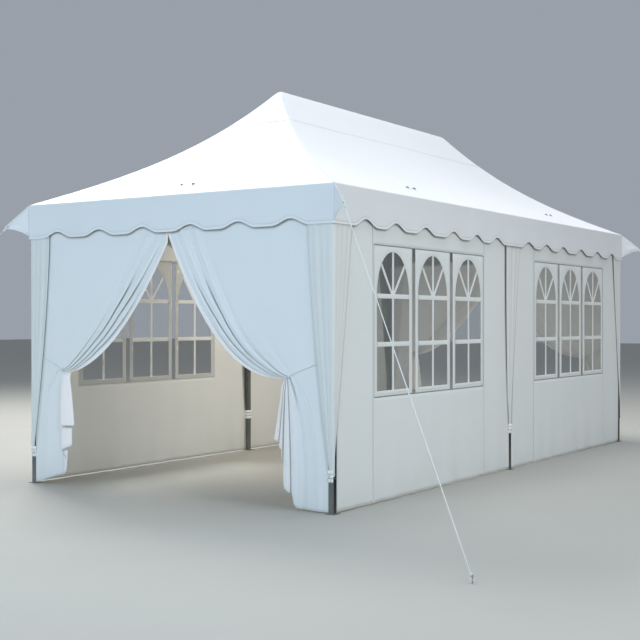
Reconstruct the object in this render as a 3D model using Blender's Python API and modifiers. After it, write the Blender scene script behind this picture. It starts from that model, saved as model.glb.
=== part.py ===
# Marquee tent, 3 m by 6 m: a steel frame under a hipped fabric canopy with a scalloped
# valance, windowed side walls, tied-back end curtains and four guy ropes.
# Metres, +Z up. The origin is on the ground under the middle of the tent.
# X runs across the tent, Y along it, and the front doorway faces -Y.

import math

import bmesh
import bpy

# Plan and heights
TENT_WIDTH = 3.0
BAY_LENGTH = 3.0
BAYS = 2
EAVE_HEIGHT = 2.312
ROOF_RISE = 1.063
RIDGE_ROUNDING = 0.05
EAVE_SLOPE_SHARE = 0.64
# Places of the canopy's rows, as shares of the roof's run and then of the ridge's rounding
ROOF_ROWS = (0.0, 0.12, 0.24, 0.36, 0.48, 0.60, 0.70, 0.80, 0.88, 0.94)
RIDGE_ROWS = (1.0, 0.6, 0.3)

# Frame tubes
LEG_SIZE = 0.040
LEG_SETBACK = 0.010
FOOT_PLATE_SIZE = 0.080
FOOT_PLATE_THICKNESS = 0.004
RAIL_SIZE = 0.030
POST_SIZE = 0.030
RIDGE_TUBE_RADIUS = 0.016
RIDGE_TUBE_SIDES = 16
RIDGE_TUBE_SMOOTH_ANGLE = 40
TUBE_EDGE = 0.003

# Fabric
CLOTH = 0.003
CANOPY_EASE = 0.012
VALANCE_DEPTH = 0.275
NOTCH_HEIGHT = 0.050
NOTCH_PITCH = 0.460
NOTCHES_PER_BAY = 6
NOTCH_HALF_WIDTH = 0.165
NOTCH_STEPS = 8

# Corner ears that take the guy ropes
EAR_REACH = 0.210
EAR_DROP = 0.165
EAR_ROOT = 0.250
EAR_TIP_WIDTH = 0.014
EAR_HOLLOW = 0.030
EAR_CLOTH = 0.004
EAR_STEPS = 6

# Leg covers and the strap that ties each one to its leg
COVER_END_WIDTH = 0.220
COVER_SIDE_WIDTH = 0.240
COVER_MIDDLE_WIDTH = 0.310
COVER_GATHER_WIDTH = 0.045
COVER_END_TAPER = 2.2
COVER_SIDE_TAPER = 1.2
COVER_COLUMNS = 2
COVER_ROWS = 8
CORNER_TIE_HEIGHT = 0.255
MIDDLE_TIE_HEIGHT = 0.330
TIE_DEPTH = 0.080
TIE_STRAP = 0.004
COVER_IN_STRAP = 0.001

# Side walls and their windows
WALL_GROUND_GAP = 0.008
WALL_TOP_DROP = 0.006
WINDOW_GROUP_WIDTH = 1.880
WINDOW_BOTTOM = 0.812
WINDOW_TOP = 1.900
WINDOWS_PER_BAY = 3
CLEAR_STRIP = 0.053
WINDOW_STILE = 0.044
WINDOW_SILL = 0.052
WINDOW_HEAD = 0.042
ARCH_HEIGHT = 0.345
ARCH_STEPS = 14
FILM = 0.001
FILM_MARGIN = 0.020

# End curtains
SPLIT_APEX_HEIGHT = 1.980
CURTAIN_TIE_HEIGHT = 0.930
CURTAIN_TIE_REACH = 1.070
CURTAIN_SPLIT = 0.002
CURTAIN_TAIL_SPREAD = 0.060
CURTAIN_HEM_RISE = 0.440
CURTAIN_HEM_START = 0.70
CURTAIN_HEM_POWER = 2.2
PLEAT_DEPTH_TOP = 0.004
PLEAT_DEPTH_NECK = 0.016
PLEAT_DEPTH_HEM = 0.026
PLEATS = 2
PLEAT_START = 0.72
# Rows of the curtain's head, swag and tail, and its columns
CURTAIN_ROWS = (2, 9, 7)
CURTAIN_FLAT_COLUMNS = 5
PLEAT_COLUMNS = 6
TIE_CORD_RADIUS = 0.003
TIE_CORD_RISE = 0.120
TIE_CORD_BELOW_FOLD = 0.012
TIE_CORD_TURN_STEPS = 8

# Guy ropes, and pegs with their places out from the tent's plan
PEG_OUT_X = 1.740
PEG_OUT_Y = 1.410
PEG_RADIUS = 0.004
PEG_HEIGHT = 0.050
PEG_HOOK = 0.014
PEG_HOOK_STEPS = 6
ROPE_RADIUS = 0.003
ROPE_PEG_HEIGHT = 0.020

# Corners round the section of a cord or wire, in each quarter turn
CORD_CORNERS = 2

# Clearance between pieces that touch, and the reach within which points are one
SEAT = 0.0003
SAME_POINT = 0.00005

# Worked-out places
TENT_LENGTH = BAYS * BAY_LENGTH
LEG_FACE_X = TENT_WIDTH / 2 - LEG_SETBACK
LEG_FACE_Y = TENT_LENGTH / 2 - LEG_SETBACK
LEG_X = LEG_FACE_X - LEG_SIZE / 2
LEG_Y = LEG_FACE_Y - LEG_SIZE / 2
EAVE_X = TENT_WIDTH / 2 + CANOPY_EASE
EAVE_Y = TENT_LENGTH / 2 + CANOPY_EASE
ROOF_RUN = EAVE_X
PEAK_Y = EAVE_Y - ROOF_RUN
TRUSS_Y = PEAK_Y - POST_SIZE / 2
PANEL_TO_LEG = TIE_STRAP + 2 * SEAT
PEG_X = TENT_WIDTH / 2 + PEG_OUT_X
PEG_Y = TENT_LENGTH / 2 + PEG_OUT_Y
HEM_Z = EAVE_HEIGHT - VALANCE_DEPTH
SIDES = {"left": -1, "right": 1}
ENDS = {"front": -1, "rear": 1}


def roof_height(inset):
    """Top of the canopy at a distance in from the eave: steeper towards the ridge."""
    share = min(inset / ROOF_RUN, 1.0)
    height = EAVE_SLOPE_SHARE * share + (1 - EAVE_SLOPE_SHARE) * share ** 3
    z = EAVE_HEIGHT + ROOF_RISE * height
    to_ridge = ROOF_RUN - inset
    if to_ridge < RIDGE_ROUNDING:
        slope = ROOF_RISE * (3 - 2 * EAVE_SLOPE_SHARE) / ROOF_RUN
        rounded = RIDGE_ROUNDING / 2 + to_ridge ** 2 / (2 * RIDGE_ROUNDING)
        z = EAVE_HEIGHT + ROOF_RISE - slope * rounded
    return z


# The canopy rests on the outer edges of the corner legs
RAIL_TOP_Z = roof_height(EAVE_X - LEG_FACE_X) - CLOTH - SEAT
RAIL_BOTTOM_Z = RAIL_TOP_Z - RAIL_SIZE
WALL_TOP_Z = RAIL_TOP_Z - WALL_TOP_DROP

COLOURS = {
    "canopy_cloth": ((0.86, 0.87, 0.88), 0.62, 0.0),
    "wall_cloth": ((0.80, 0.82, 0.84), 0.66, 0.0),
    "steel_tube": ((0.23, 0.26, 0.25), 0.45, 0.7),
    "window_film": ((0.62, 0.66, 0.66), 0.12, 0.0),
    "strap": ((0.90, 0.90, 0.90), 0.70, 0.0),
    "rope": ((0.90, 0.90, 0.88), 0.75, 0.0),
    "peg_steel": ((0.55, 0.56, 0.57), 0.35, 0.9),
}


# Scene, materials and shared modelling steps

def clear_scene():
    for obj in list(bpy.data.objects):
        bpy.data.objects.remove(obj, do_unlink=True)


def make_collection(name):
    collection = bpy.data.collections.new(name)
    bpy.context.scene.collection.children.link(collection)
    return collection


def make_material(name, kind):
    colour, roughness, metallic = COLOURS[kind]
    material = bpy.data.materials.new(name)
    material.use_nodes = True
    shader = material.node_tree.nodes["Principled BSDF"]
    shader.inputs["Base Color"].default_value = (*colour, 1.0)
    shader.inputs["Roughness"].default_value = roughness
    shader.inputs["Metallic"].default_value = metallic
    return material


def add_object(name, data, kind):
    obj = bpy.data.objects.new(name, data)
    PARTS.objects.link(obj)
    data.materials.append(make_material(name, kind))
    return obj


def mesh_object(name, bm, kind):
    bm.normal_update()
    bmesh.ops.recalc_face_normals(bm, faces=bm.faces)
    mesh = bpy.data.meshes.new(name)
    bm.to_mesh(mesh)
    bm.free()
    return add_object(name, mesh, kind)


def add_modifier(obj, kind, **settings):
    modifier = obj.modifiers.new(kind.title(), kind)
    for key, value in settings.items():
        setattr(modifier, key, value)
    return modifier


def round_edges(obj, width):
    add_modifier(obj, "BEVEL", width=width, segments=1, limit_method="ANGLE")


def make_bar(name, low, high, kind="steel_tube"):
    """A straight square tube, from its lowest to its highest corner."""
    bm = bmesh.new()
    bmesh.ops.create_cube(bm, size=1.0)
    for vert in bm.verts:
        for axis in range(3):
            vert.co[axis] = low[axis] if vert.co[axis] < 0 else high[axis]
    obj = mesh_object(name, bm, kind)
    round_edges(obj, TUBE_EDGE)
    return obj


def grid_mesh(columns, rows, place):
    """A primitive grid whose points are moved by place(u, v), with u and v from 0 to 1."""
    bm = bmesh.new()
    bmesh.ops.create_grid(bm, x_segments=columns, y_segments=rows, size=0.5)
    for vert in bm.verts:
        vert.co = place(vert.co.x + 0.5, vert.co.y + 0.5)
    return bm


def make_sheet(name, columns, rows, place, kind, thickness=CLOTH):
    """Cloth: an open grid given its thickness evenly about the surface."""
    obj = mesh_object(name, grid_mesh(columns, rows, place), kind)
    add_modifier(obj, "SOLIDIFY", thickness=thickness, offset=0.0, use_even_offset=True)
    return obj


def make_plate(name, outlines, thickness, centre, turn, kind):
    """A flat piece: closed outlines, the first one outside and the others holes."""
    curve = bpy.data.curves.new(name, "CURVE")
    curve.dimensions = "2D"
    curve.fill_mode = "BOTH"
    curve.extrude = thickness / 2
    for outline in outlines:
        spline = curve.splines.new("POLY")
        spline.points.add(len(outline) - 1)
        for point, (across, up) in zip(spline.points, outline):
            point.co = (across, up, 0.0, 1.0)
        spline.use_cyclic_u = True
    obj = add_object(name, curve, kind)
    obj.location = centre
    obj.rotation_euler = turn
    return obj


def make_tube(name, points, radius, kind):
    """A cord or wire: a poly line with a round section and filled ends."""
    curve = bpy.data.curves.new(name, "CURVE")
    curve.dimensions = "3D"
    curve.bevel_depth = radius
    curve.bevel_resolution = CORD_CORNERS
    curve.use_fill_caps = True
    spline = curve.splines.new("POLY")
    spline.points.add(len(points) - 1)
    for point, place in zip(spline.points, points):
        point.co = (*place, 1.0)
    return add_object(name, curve, kind)


def upright_x(sign_y):
    """Turn that stands a flat outline up along X, facing the tent's front or rear."""
    return (math.pi / 2, 0.0, 0.0 if sign_y < 0 else math.pi)


def upright_y(sign_x):
    """Turn that stands a flat outline up along Y, facing the tent's left or right."""
    return (math.pi / 2, 0.0, sign_x * math.pi / 2)


# Frame

def make_leg(name, x, y, top):
    """Square leg with its foot plate: the plate's top is inset and drawn up."""
    bm = bmesh.new()
    bmesh.ops.create_cube(bm, size=1.0)
    for vert in bm.verts:
        vert.co.x = x + vert.co.x * FOOT_PLATE_SIZE
        vert.co.y = y + vert.co.y * FOOT_PLATE_SIZE
        vert.co.z = (vert.co.z + 0.5) * FOOT_PLATE_THICKNESS
    face = max(bm.faces, key=lambda f: f.calc_center_median().z)
    margin = (FOOT_PLATE_SIZE - LEG_SIZE) / 2
    bmesh.ops.inset_individual(bm, faces=[face], thickness=margin, use_even_offset=True)
    drawn = bmesh.ops.extrude_discrete_faces(bm, faces=[face])["faces"][0]
    bmesh.ops.translate(bm, verts=drawn.verts, vec=(0, 0, top - FOOT_PLATE_THICKNESS))
    return mesh_object(name, bm, "steel_tube")


def make_frame():
    corner_top = RAIL_TOP_Z
    middle_top = RAIL_BOTTOM_Z - SEAT
    for side, sx in SIDES.items():
        for end, sy in ENDS.items():
            make_leg(f"leg_{end}_{side}", sx * LEG_X, sy * LEG_Y, corner_top)
        make_leg(f"leg_middle_{side}", sx * LEG_X, 0.0, middle_top)

    rail_out_x = LEG_FACE_X - CLOTH - 2 * SEAT
    rail_out_y = LEG_FACE_Y - CLOTH - 2 * SEAT
    side_end = LEG_Y - LEG_SIZE / 2 - SEAT
    end_end = LEG_X - LEG_SIZE / 2 - SEAT
    for side, sx in SIDES.items():
        across = sorted((sx * rail_out_x, sx * (rail_out_x - RAIL_SIZE)))
        make_bar(f"eave_rail_{side}", (across[0], -side_end, RAIL_BOTTOM_Z),
                 (across[1], side_end, RAIL_TOP_Z))
    for end, sy in ENDS.items():
        along = sorted((sy * rail_out_y, sy * (rail_out_y - RAIL_SIZE)))
        make_bar(f"eave_rail_{end}", (-end_end, along[0], RAIL_BOTTOM_Z),
                 (end_end, along[1], RAIL_TOP_Z))

    beam_end = rail_out_x - RAIL_SIZE - SEAT
    for name, y in (("front", -TRUSS_Y), ("middle", 0.0), ("rear", TRUSS_Y)):
        make_bar(f"cross_beam_{name}", (-beam_end, y - RAIL_SIZE / 2, RAIL_BOTTOM_Z),
                 (beam_end, y + RAIL_SIZE / 2, RAIL_TOP_Z))

    ridge_z = roof_height(ROOF_RUN) - CLOTH - SEAT - RIDGE_TUBE_RADIUS
    bm = bmesh.new()
    bmesh.ops.create_cone(bm, cap_ends=True, segments=RIDGE_TUBE_SIDES,
                          radius1=RIDGE_TUBE_RADIUS, radius2=RIDGE_TUBE_RADIUS,
                          depth=2 * PEAK_Y)
    for vert in bm.verts:
        x, y, z = vert.co
        vert.co = (x, z, y + ridge_z)
    ridge = mesh_object("ridge_tube", bm, "steel_tube")
    ridge.data.shade_smooth()
    ridge.data.set_sharp_from_angle(angle=math.radians(RIDGE_TUBE_SMOOTH_ANGLE))
    for end, sy in ENDS.items():
        y = sy * TRUSS_Y
        top = ridge_z - RIDGE_TUBE_RADIUS - SEAT
        make_bar(f"king_post_{end}", (-POST_SIZE / 2, y - POST_SIZE / 2, RAIL_TOP_Z + SEAT),
                 (POST_SIZE / 2, y + POST_SIZE / 2, top))


# Canopy

def make_canopy():
    """Four sheets: level rows from the eave to the ridge, thick straight downwards."""
    insets = [share * ROOF_RUN for share in ROOF_ROWS]
    insets += [ROOF_RUN - RIDGE_ROUNDING * share for share in RIDGE_ROWS]
    insets.append(ROOF_RUN - SEAT / 2)

    def sheet(name, eave, half_length, place):
        def at(u, v):
            inset = insets[round(v * (len(insets) - 1))]
            half = half_length - inset - SEAT / 2
            return place((2 * u - 1) * max(half, 0.0), eave - inset, roof_height(inset))

        bm = grid_mesh(1, len(insets) - 1, at)
        bmesh.ops.remove_doubles(bm, verts=bm.verts, dist=SAME_POINT)
        top = list(bm.faces)
        under = bmesh.ops.extrude_face_region(bm, geom=top)["geom"]
        bmesh.ops.translate(bm, verts=[g for g in under if isinstance(g, bmesh.types.BMVert)],
                            vec=(0, 0, -CLOTH))
        mesh_object(name, bm, "canopy_cloth")

    for side, sx in SIDES.items():
        sheet(f"roof_{side}", EAVE_X, EAVE_Y, lambda along, out, z, s=sx: (s * out, along, z))
    for end, sy in ENDS.items():
        sheet(f"roof_{end}", EAVE_Y, EAVE_X, lambda along, out, z, s=sy: (along, s * out, z))


def hem_points(bays, half_length):
    """Lower edge of a valance: flat lobes with a rounded notch between each two."""
    points = [(-half_length, HEM_Z)]
    for bay in range(bays):
        middle = (bay + 0.5 - bays / 2) * BAY_LENGTH
        for notch in range(NOTCHES_PER_BAY):
            centre = middle + (notch + 0.5 - NOTCHES_PER_BAY / 2) * NOTCH_PITCH
            for step in range(NOTCH_STEPS + 1):
                turn = 2 * step / NOTCH_STEPS - 1
                lift = NOTCH_HEIGHT * (1 + math.cos(math.pi * turn)) / 2
                points.append((centre + turn * NOTCH_HALF_WIDTH, HEM_Z + lift))
    points.append((half_length, HEM_Z))
    return points


def make_valances():
    top = EAVE_HEIGHT - CLOTH - SEAT
    for end, sy in ENDS.items():
        outline = hem_points(1, EAVE_X) + [(EAVE_X, top), (-EAVE_X, top)]
        centre = (0, sy * (EAVE_Y - CLOTH / 2), 0)
        make_plate(f"valance_{end}", [outline], CLOTH, centre, upright_x(sy), "canopy_cloth")
    half_length = EAVE_Y - CLOTH - SEAT
    for side, sx in SIDES.items():
        outline = hem_points(BAYS, half_length) + [(half_length, top), (-half_length, top)]
        centre = (sx * (EAVE_X - CLOTH / 2), 0, 0)
        make_plate(f"valance_{side}", [outline], CLOTH, centre, upright_y(sx), "canopy_cloth")


def make_ears():
    """A doubled web of cloth at each corner, standing out along the diagonal."""
    top = EAVE_HEIGHT - CLOTH - SEAT
    tip_top = (EAR_REACH, top - EAR_DROP)
    tip_bottom = (EAR_REACH, top - EAR_DROP - EAR_TIP_WIDTH)
    root = (SEAT, top - EAR_ROOT)
    middle = ((tip_bottom[0] + root[0]) / 2, (tip_bottom[1] + root[1]) / 2 + EAR_HOLLOW)
    lower_edge = []
    for step in range(1, EAR_STEPS):
        part = step / EAR_STEPS
        lower_edge.append(tuple((1 - part) ** 2 * a + 2 * part * (1 - part) * m + part ** 2 * b
                                for a, m, b in zip(tip_bottom, middle, root)))
    outline = [root, (SEAT, top), tip_top, tip_bottom] + lower_edge
    for side, sx in SIDES.items():
        for end, sy in ENDS.items():
            turn = (math.pi / 2, 0.0, math.atan2(sy, sx))
            make_plate(f"corner_ear_{end}_{side}", [outline], EAR_CLOTH,
                       (sx * EAVE_X, sy * EAVE_Y, 0), turn, "canopy_cloth")


# Leg covers

def helper_box(name, centre, size):
    """A hidden box that is joined to a part or cut out of one."""
    bm = bmesh.new()
    bmesh.ops.create_cube(bm, size=1.0)
    bmesh.ops.scale(bm, vec=size, verts=bm.verts)
    bmesh.ops.translate(bm, vec=centre, verts=bm.verts)
    mesh = bpy.data.meshes.new(name)
    bm.to_mesh(mesh)
    bm.free()
    obj = bpy.data.objects.new(name, mesh)
    obj.hide_render = True
    obj.display_type = "WIRE"
    CUTTERS.objects.link(obj)
    return obj


def sew_strap(cover, x, y, height):
    """The strap that gathers the foot of a cover: a square ring round the leg."""
    bore = LEG_SIZE + 2 * SEAT
    outside = bore + 2 * TIE_STRAP
    strap = helper_box(f"{cover.name}_strap", (x, y, height), (outside, outside, TIE_DEPTH))
    hole = helper_box(f"{cover.name}_bore", (x, y, height), (bore, bore, 2 * TIE_DEPTH))
    add_modifier(strap, "BOOLEAN", operation="DIFFERENCE", object=hole)
    add_modifier(cover, "BOOLEAN", operation="UNION", object=strap)


def taper(top_width, power, down):
    """Width of a cover's face: full under the valance, gathered at the strap."""
    return COVER_GATHER_WIDTH + (top_width - COVER_GATHER_WIDTH) * (1 - down ** power)


def cover_face(leg_face, eave, down):
    """Distance out of a cover's face: in the valance's plane at the top, on the leg below."""
    high = eave - CLOTH / 2
    low = leg_face + SEAT + COVER_IN_STRAP + CLOTH / 2
    return high + (low - high) * down


def make_leg_covers():
    """Tapered sleeves of cloth from the valance's hem down to the gathering strap."""
    top = HEM_Z - SEAT
    for side, sx in SIDES.items():
        for end, sy in ENDS.items():
            def place(u, v, sx=sx, sy=sy):
                down = 1 - v
                x = cover_face(LEG_FACE_X, EAVE_X, down)
                y = cover_face(LEG_FACE_Y, EAVE_Y, down)
                if u < 0.25:
                    x -= taper(COVER_END_WIDTH, COVER_END_TAPER, down)
                if u > 0.75:
                    y -= taper(COVER_SIDE_WIDTH, COVER_SIDE_TAPER, down)
                return (sx * x, sy * y, CORNER_TIE_HEIGHT + (top - CORNER_TIE_HEIGHT) * v)

            cover = make_sheet(f"leg_cover_{end}_{side}", COVER_COLUMNS, COVER_ROWS, place,
                               "canopy_cloth")
            sew_strap(cover, sx * LEG_X, sy * LEG_Y, CORNER_TIE_HEIGHT)

        def place_middle(u, v, sx=sx):
            down = 1 - v
            width = taper(COVER_MIDDLE_WIDTH, COVER_SIDE_TAPER, down)
            return (sx * cover_face(LEG_FACE_X, EAVE_X, down), (u - 0.5) * width,
                    MIDDLE_TIE_HEIGHT + (top - MIDDLE_TIE_HEIGHT) * v)

        cover = make_sheet(f"leg_cover_middle_{side}", COVER_COLUMNS, COVER_ROWS, place_middle,
                           "canopy_cloth")
        sew_strap(cover, sx * LEG_X, 0.0, MIDDLE_TIE_HEIGHT)


# Side walls

def arch_window(left, right, bottom, top):
    """Outline of one clear pane: straight sides under a half-ellipse head."""
    spring = top - ARCH_HEIGHT
    middle = (left + right) / 2
    half = (right - left) / 2
    points = [(left, bottom), (right, bottom)]
    for step in range(ARCH_STEPS + 1):
        angle = math.pi * step / ARCH_STEPS
        points.append((middle + half * math.cos(angle), spring + ARCH_HEIGHT * math.sin(angle)))
    return points


def window_holes():
    """Clear panes of one bay, about the middle of the bay, and the strips between them."""
    unit = (WINDOW_GROUP_WIDTH - (WINDOWS_PER_BAY - 1) * CLEAR_STRIP) / WINDOWS_PER_BAY
    holes = []
    for window in range(WINDOWS_PER_BAY):
        left = window * (unit + CLEAR_STRIP) - WINDOW_GROUP_WIDTH / 2
        right = left + unit
        holes.append(arch_window(left + WINDOW_STILE, right - WINDOW_STILE,
                                 WINDOW_BOTTOM + WINDOW_SILL, WINDOW_TOP - WINDOW_HEAD))
        if window < WINDOWS_PER_BAY - 1:
            holes.append(rectangle(right, right + CLEAR_STRIP, WINDOW_BOTTOM, WINDOW_TOP))
    return holes


def rectangle(left, right, bottom, top):
    return [(left, bottom), (right, bottom), (right, top), (left, top)]


def make_walls():
    """One panel for each bay of each side, with a sheet of clear film behind its windows."""
    near_middle_leg = LEG_SIZE / 2 + PANEL_TO_LEG - BAY_LENGTH / 2
    near_corner_leg = LEG_Y - LEG_SIZE / 2 - PANEL_TO_LEG - BAY_LENGTH / 2
    wall_x = LEG_FACE_X - SEAT - CLOTH / 2
    film_x = wall_x - CLOTH / 2 - SEAT - FILM / 2
    film_half = WINDOW_GROUP_WIDTH / 2 + FILM_MARGIN
    film = rectangle(-film_half, film_half, WINDOW_BOTTOM - FILM_MARGIN, WINDOW_TOP + FILM_MARGIN)
    for side, sx in SIDES.items():
        for end, sy in ENDS.items():
            ends = sorted((sx * sy * near_middle_leg, sx * sy * near_corner_leg))
            panel = rectangle(*ends, WALL_GROUND_GAP, WALL_TOP_Z)
            bay_y = sy * BAY_LENGTH / 2
            make_plate(f"wall_{side}_{end}", [panel] + window_holes(), CLOTH,
                       (sx * wall_x, bay_y, 0), upright_y(sx), "wall_cloth")
            make_plate(f"window_{side}_{end}", [film], FILM,
                       (sx * film_x, bay_y, 0), upright_y(sx), "window_film")


# Curtains at both ends

def curtain_point(u, v):
    """Point of the right-hand front curtain: u from the leg to the free edge, v downwards."""
    outer = LEG_X - LEG_SIZE / 2 - PANEL_TO_LEG
    head, swag, tail = CURTAIN_ROWS
    row = v * (head + swag + tail)
    drop = SPLIT_APEX_HEIGHT - CURTAIN_TIE_HEIGHT
    if row <= head:
        part = row / head
        z = WALL_TOP_Z + (SPLIT_APEX_HEIGHT - WALL_TOP_Z) * part
        free = CURTAIN_SPLIT
        pleat = PLEAT_DEPTH_TOP * part
    elif row <= head + swag:
        part = (row - head) / swag
        z = CURTAIN_TIE_HEIGHT + drop * (1 - part) ** 2
        free = CURTAIN_SPLIT + (CURTAIN_TIE_REACH - CURTAIN_SPLIT) * part
        pleat = PLEAT_DEPTH_TOP + (PLEAT_DEPTH_NECK - PLEAT_DEPTH_TOP) * part
    else:
        part = (row - head - swag) / tail
        rising = max(0.0, (u - CURTAIN_HEM_START) / (1 - CURTAIN_HEM_START))
        hem = WALL_GROUND_GAP + CURTAIN_HEM_RISE * rising ** CURTAIN_HEM_POWER
        z = CURTAIN_TIE_HEIGHT + (hem - CURTAIN_TIE_HEIGHT) * part
        free = CURTAIN_TIE_REACH - CURTAIN_TAIL_SPREAD * math.sin(part * math.pi / 2)
        pleat = PLEAT_DEPTH_NECK + (PLEAT_DEPTH_HEM - PLEAT_DEPTH_NECK) * part
    wave = 0.0
    if u > PLEAT_START:
        wave = math.sin(2 * math.pi * PLEATS * (u - PLEAT_START) / (1 - PLEAT_START))
    y = LEG_FACE_Y - SEAT - CLOTH / 2 + pleat * wave
    return outer + (free - outer) * u, y, z


def make_curtains():
    pleat_columns = PLEAT_COLUMNS * PLEATS
    columns = CURTAIN_FLAT_COLUMNS + pleat_columns

    def spread(index):
        if index <= CURTAIN_FLAT_COLUMNS:
            return PLEAT_START * index / CURTAIN_FLAT_COLUMNS
        return PLEAT_START + (1 - PLEAT_START) * (index - CURTAIN_FLAT_COLUMNS) / pleat_columns

    for side, sx in SIDES.items():
        for end, sy in ENDS.items():
            def place(u, v, sx=sx, sy=sy):
                x, y, z = curtain_point(spread(round(u * columns)), 1 - v)
                return (sx * x, sy * y, z)

            make_sheet(f"curtain_{end}_{side}", columns, sum(CURTAIN_ROWS), place, "wall_cloth")

            cord = curtain_tie_route()
            make_tube(f"curtain_tie_{end}_{side}", [(sx * x, sy * y, z) for x, y, z in cord],
                      TIE_CORD_RADIUS, "strap")


def curtain_tie_route():
    """From the leg, outside the curtain, round its free edge and back inside to the leg."""
    outside = LEG_FACE_Y + TIE_CORD_RADIUS + SEAT
    inside = LEG_FACE_Y - 2 * SEAT - CLOTH - TIE_CORD_RADIUS
    reach = PLEAT_DEPTH_NECK + CLOTH + TIE_CORD_RADIUS
    neck = CURTAIN_TIE_REACH
    leg = LEG_X - LEG_SIZE / 2
    top = CURTAIN_TIE_HEIGHT + TIE_CORD_RISE
    middle = LEG_FACE_Y - SEAT - CLOTH / 2
    bundle = (1 - PLEAT_START) * (leg - neck)
    loop_z = CURTAIN_TIE_HEIGHT - TIE_CORD_BELOW_FOLD
    clear_of_cover = TENT_WIDTH / 2 - COVER_END_WIDTH
    half_way = (leg - clear_of_cover) / (leg - neck - bundle)
    points = [(leg + LEG_SIZE / 2, outside, top), (leg, outside, top)]
    points.append((clear_of_cover, outside, top + (loop_z - top) * half_way))
    points.append((neck + bundle, middle + reach, loop_z))
    for step in range(TIE_CORD_TURN_STEPS + 1):
        angle = math.pi / 2 + math.pi * step / TIE_CORD_TURN_STEPS
        points.append((neck + reach / 2 + reach * math.cos(angle),
                       middle + reach * math.sin(angle), loop_z))
    points.append((neck + bundle, middle - reach, loop_z))
    points.append((leg - TIE_CORD_RADIUS / 2 - SEAT, inside, top))
    return points


# Guy ropes and pegs

def make_guys():
    ear_tip_z = EAVE_HEIGHT - CLOTH - SEAT - EAR_DROP - EAR_TIP_WIDTH / 2
    diagonal = math.sqrt(0.5)
    for side, sx in SIDES.items():
        for end, sy in ENDS.items():
            tip = (EAVE_X + EAR_REACH * diagonal, EAVE_Y + EAR_REACH * diagonal)
            run = math.hypot(PEG_X - tip[0], PEG_Y - tip[1])
            unit = ((PEG_X - tip[0]) / run, (PEG_Y - tip[1]) / run)
            slope = math.atan2(ear_tip_z - ROPE_PEG_HEIGHT, run)
            off_peg = PEG_RADIUS + SEAT + ROPE_RADIUS * math.sin(slope)
            off_ear = SEAT + ROPE_RADIUS * math.sin(slope)
            start = (tip[0] + unit[0] * off_ear, tip[1] + unit[1] * off_ear, ear_tip_z)
            stop = (PEG_X - unit[0] * off_peg, PEG_Y - unit[1] * off_peg, ROPE_PEG_HEIGHT)
            route = [(sx * x, sy * y, z) for x, y, z in (start, stop)]
            make_tube(f"guy_rope_{end}_{side}", route, ROPE_RADIUS, "rope")
            peg = [(0.0, 0.0), (0.0, PEG_HEIGHT - PEG_HOOK)]
            for step in range(1, PEG_HOOK_STEPS + 1):
                angle = math.pi * step / PEG_HOOK_STEPS
                peg.append((PEG_HOOK / 2 * (1 - math.cos(angle)),
                            PEG_HEIGHT - PEG_HOOK + PEG_HOOK / 2 * math.sin(angle)))
            points = [(sx * (PEG_X + unit[0] * out), sy * (PEG_Y + unit[1] * out), up)
                      for out, up in peg]
            make_tube(f"ground_peg_{end}_{side}", points, PEG_RADIUS, "peg_steel")


clear_scene()
PARTS = make_collection("marquee_tent")
CUTTERS = make_collection("cutters")
make_frame()
make_canopy()
make_valances()
make_ears()
make_leg_covers()
make_walls()
make_curtains()
make_guys()
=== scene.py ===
import math

import bmesh
import bpy
import numpy as np
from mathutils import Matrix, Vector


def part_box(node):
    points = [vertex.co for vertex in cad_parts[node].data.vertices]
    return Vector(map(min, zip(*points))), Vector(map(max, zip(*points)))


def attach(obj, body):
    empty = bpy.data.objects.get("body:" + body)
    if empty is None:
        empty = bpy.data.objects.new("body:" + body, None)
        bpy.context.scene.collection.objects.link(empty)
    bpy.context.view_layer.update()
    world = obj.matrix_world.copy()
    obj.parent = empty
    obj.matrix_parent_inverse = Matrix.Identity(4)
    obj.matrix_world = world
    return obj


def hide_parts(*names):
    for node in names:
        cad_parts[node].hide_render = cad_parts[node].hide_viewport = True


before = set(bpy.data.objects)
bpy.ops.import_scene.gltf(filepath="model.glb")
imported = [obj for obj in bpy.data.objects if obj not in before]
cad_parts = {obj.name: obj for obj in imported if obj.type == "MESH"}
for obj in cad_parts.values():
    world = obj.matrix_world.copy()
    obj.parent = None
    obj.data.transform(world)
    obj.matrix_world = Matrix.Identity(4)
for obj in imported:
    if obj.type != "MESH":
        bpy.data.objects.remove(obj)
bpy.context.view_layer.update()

# Dressed model of the marquee: cloth, windows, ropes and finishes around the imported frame.
# The front doorway faces -Y, X runs across, and the ground is z = 0.

ends = {"front": -1, "rear": 1}
sides = {"left": -1, "right": 1}

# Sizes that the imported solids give
tent = {
    "eaveX": -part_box("roof_left")[0][0],
    "eaveY": -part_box("roof_front")[0][1],
    "eaveZ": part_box("roof_left")[0][2] + 0.003,     # the cloth is 3 mm thick there
    "peakZ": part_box("roof_left")[1][2],
    "hemZ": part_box("valance_front")[0][2],
    "legFaceX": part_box("leg_front_right")[1][0] - 0.020,   # the foot plate is 20 mm wider
    "legFaceY": -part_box("leg_front_right")[0][1] - 0.020,
    "legSize": 0.040,
    "wallTop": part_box("wall_right_front")[1][2],
    "wallX": (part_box("wall_right_front")[0][0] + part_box("wall_right_front")[1][0]) / 2,
    "bay": 3.0,
}
tent["legX"] = tent["legFaceX"] - tent["legSize"] / 2
tent["legY"] = tent["legFaceY"] - tent["legSize"] / 2


# Meshes from arrays

def gridPatch(points, uv=None, facing=None, wrap=False, wrapRows=False, caps=False, keep=None, **layers):
    # One sheet of quads over an array of points, rows by columns.
    return {"points": points, "uv": uv, "facing": facing, "wrap": wrap, "wrapRows": wrapRows,
            "caps": caps, "keep": keep, "layers": layers}


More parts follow.
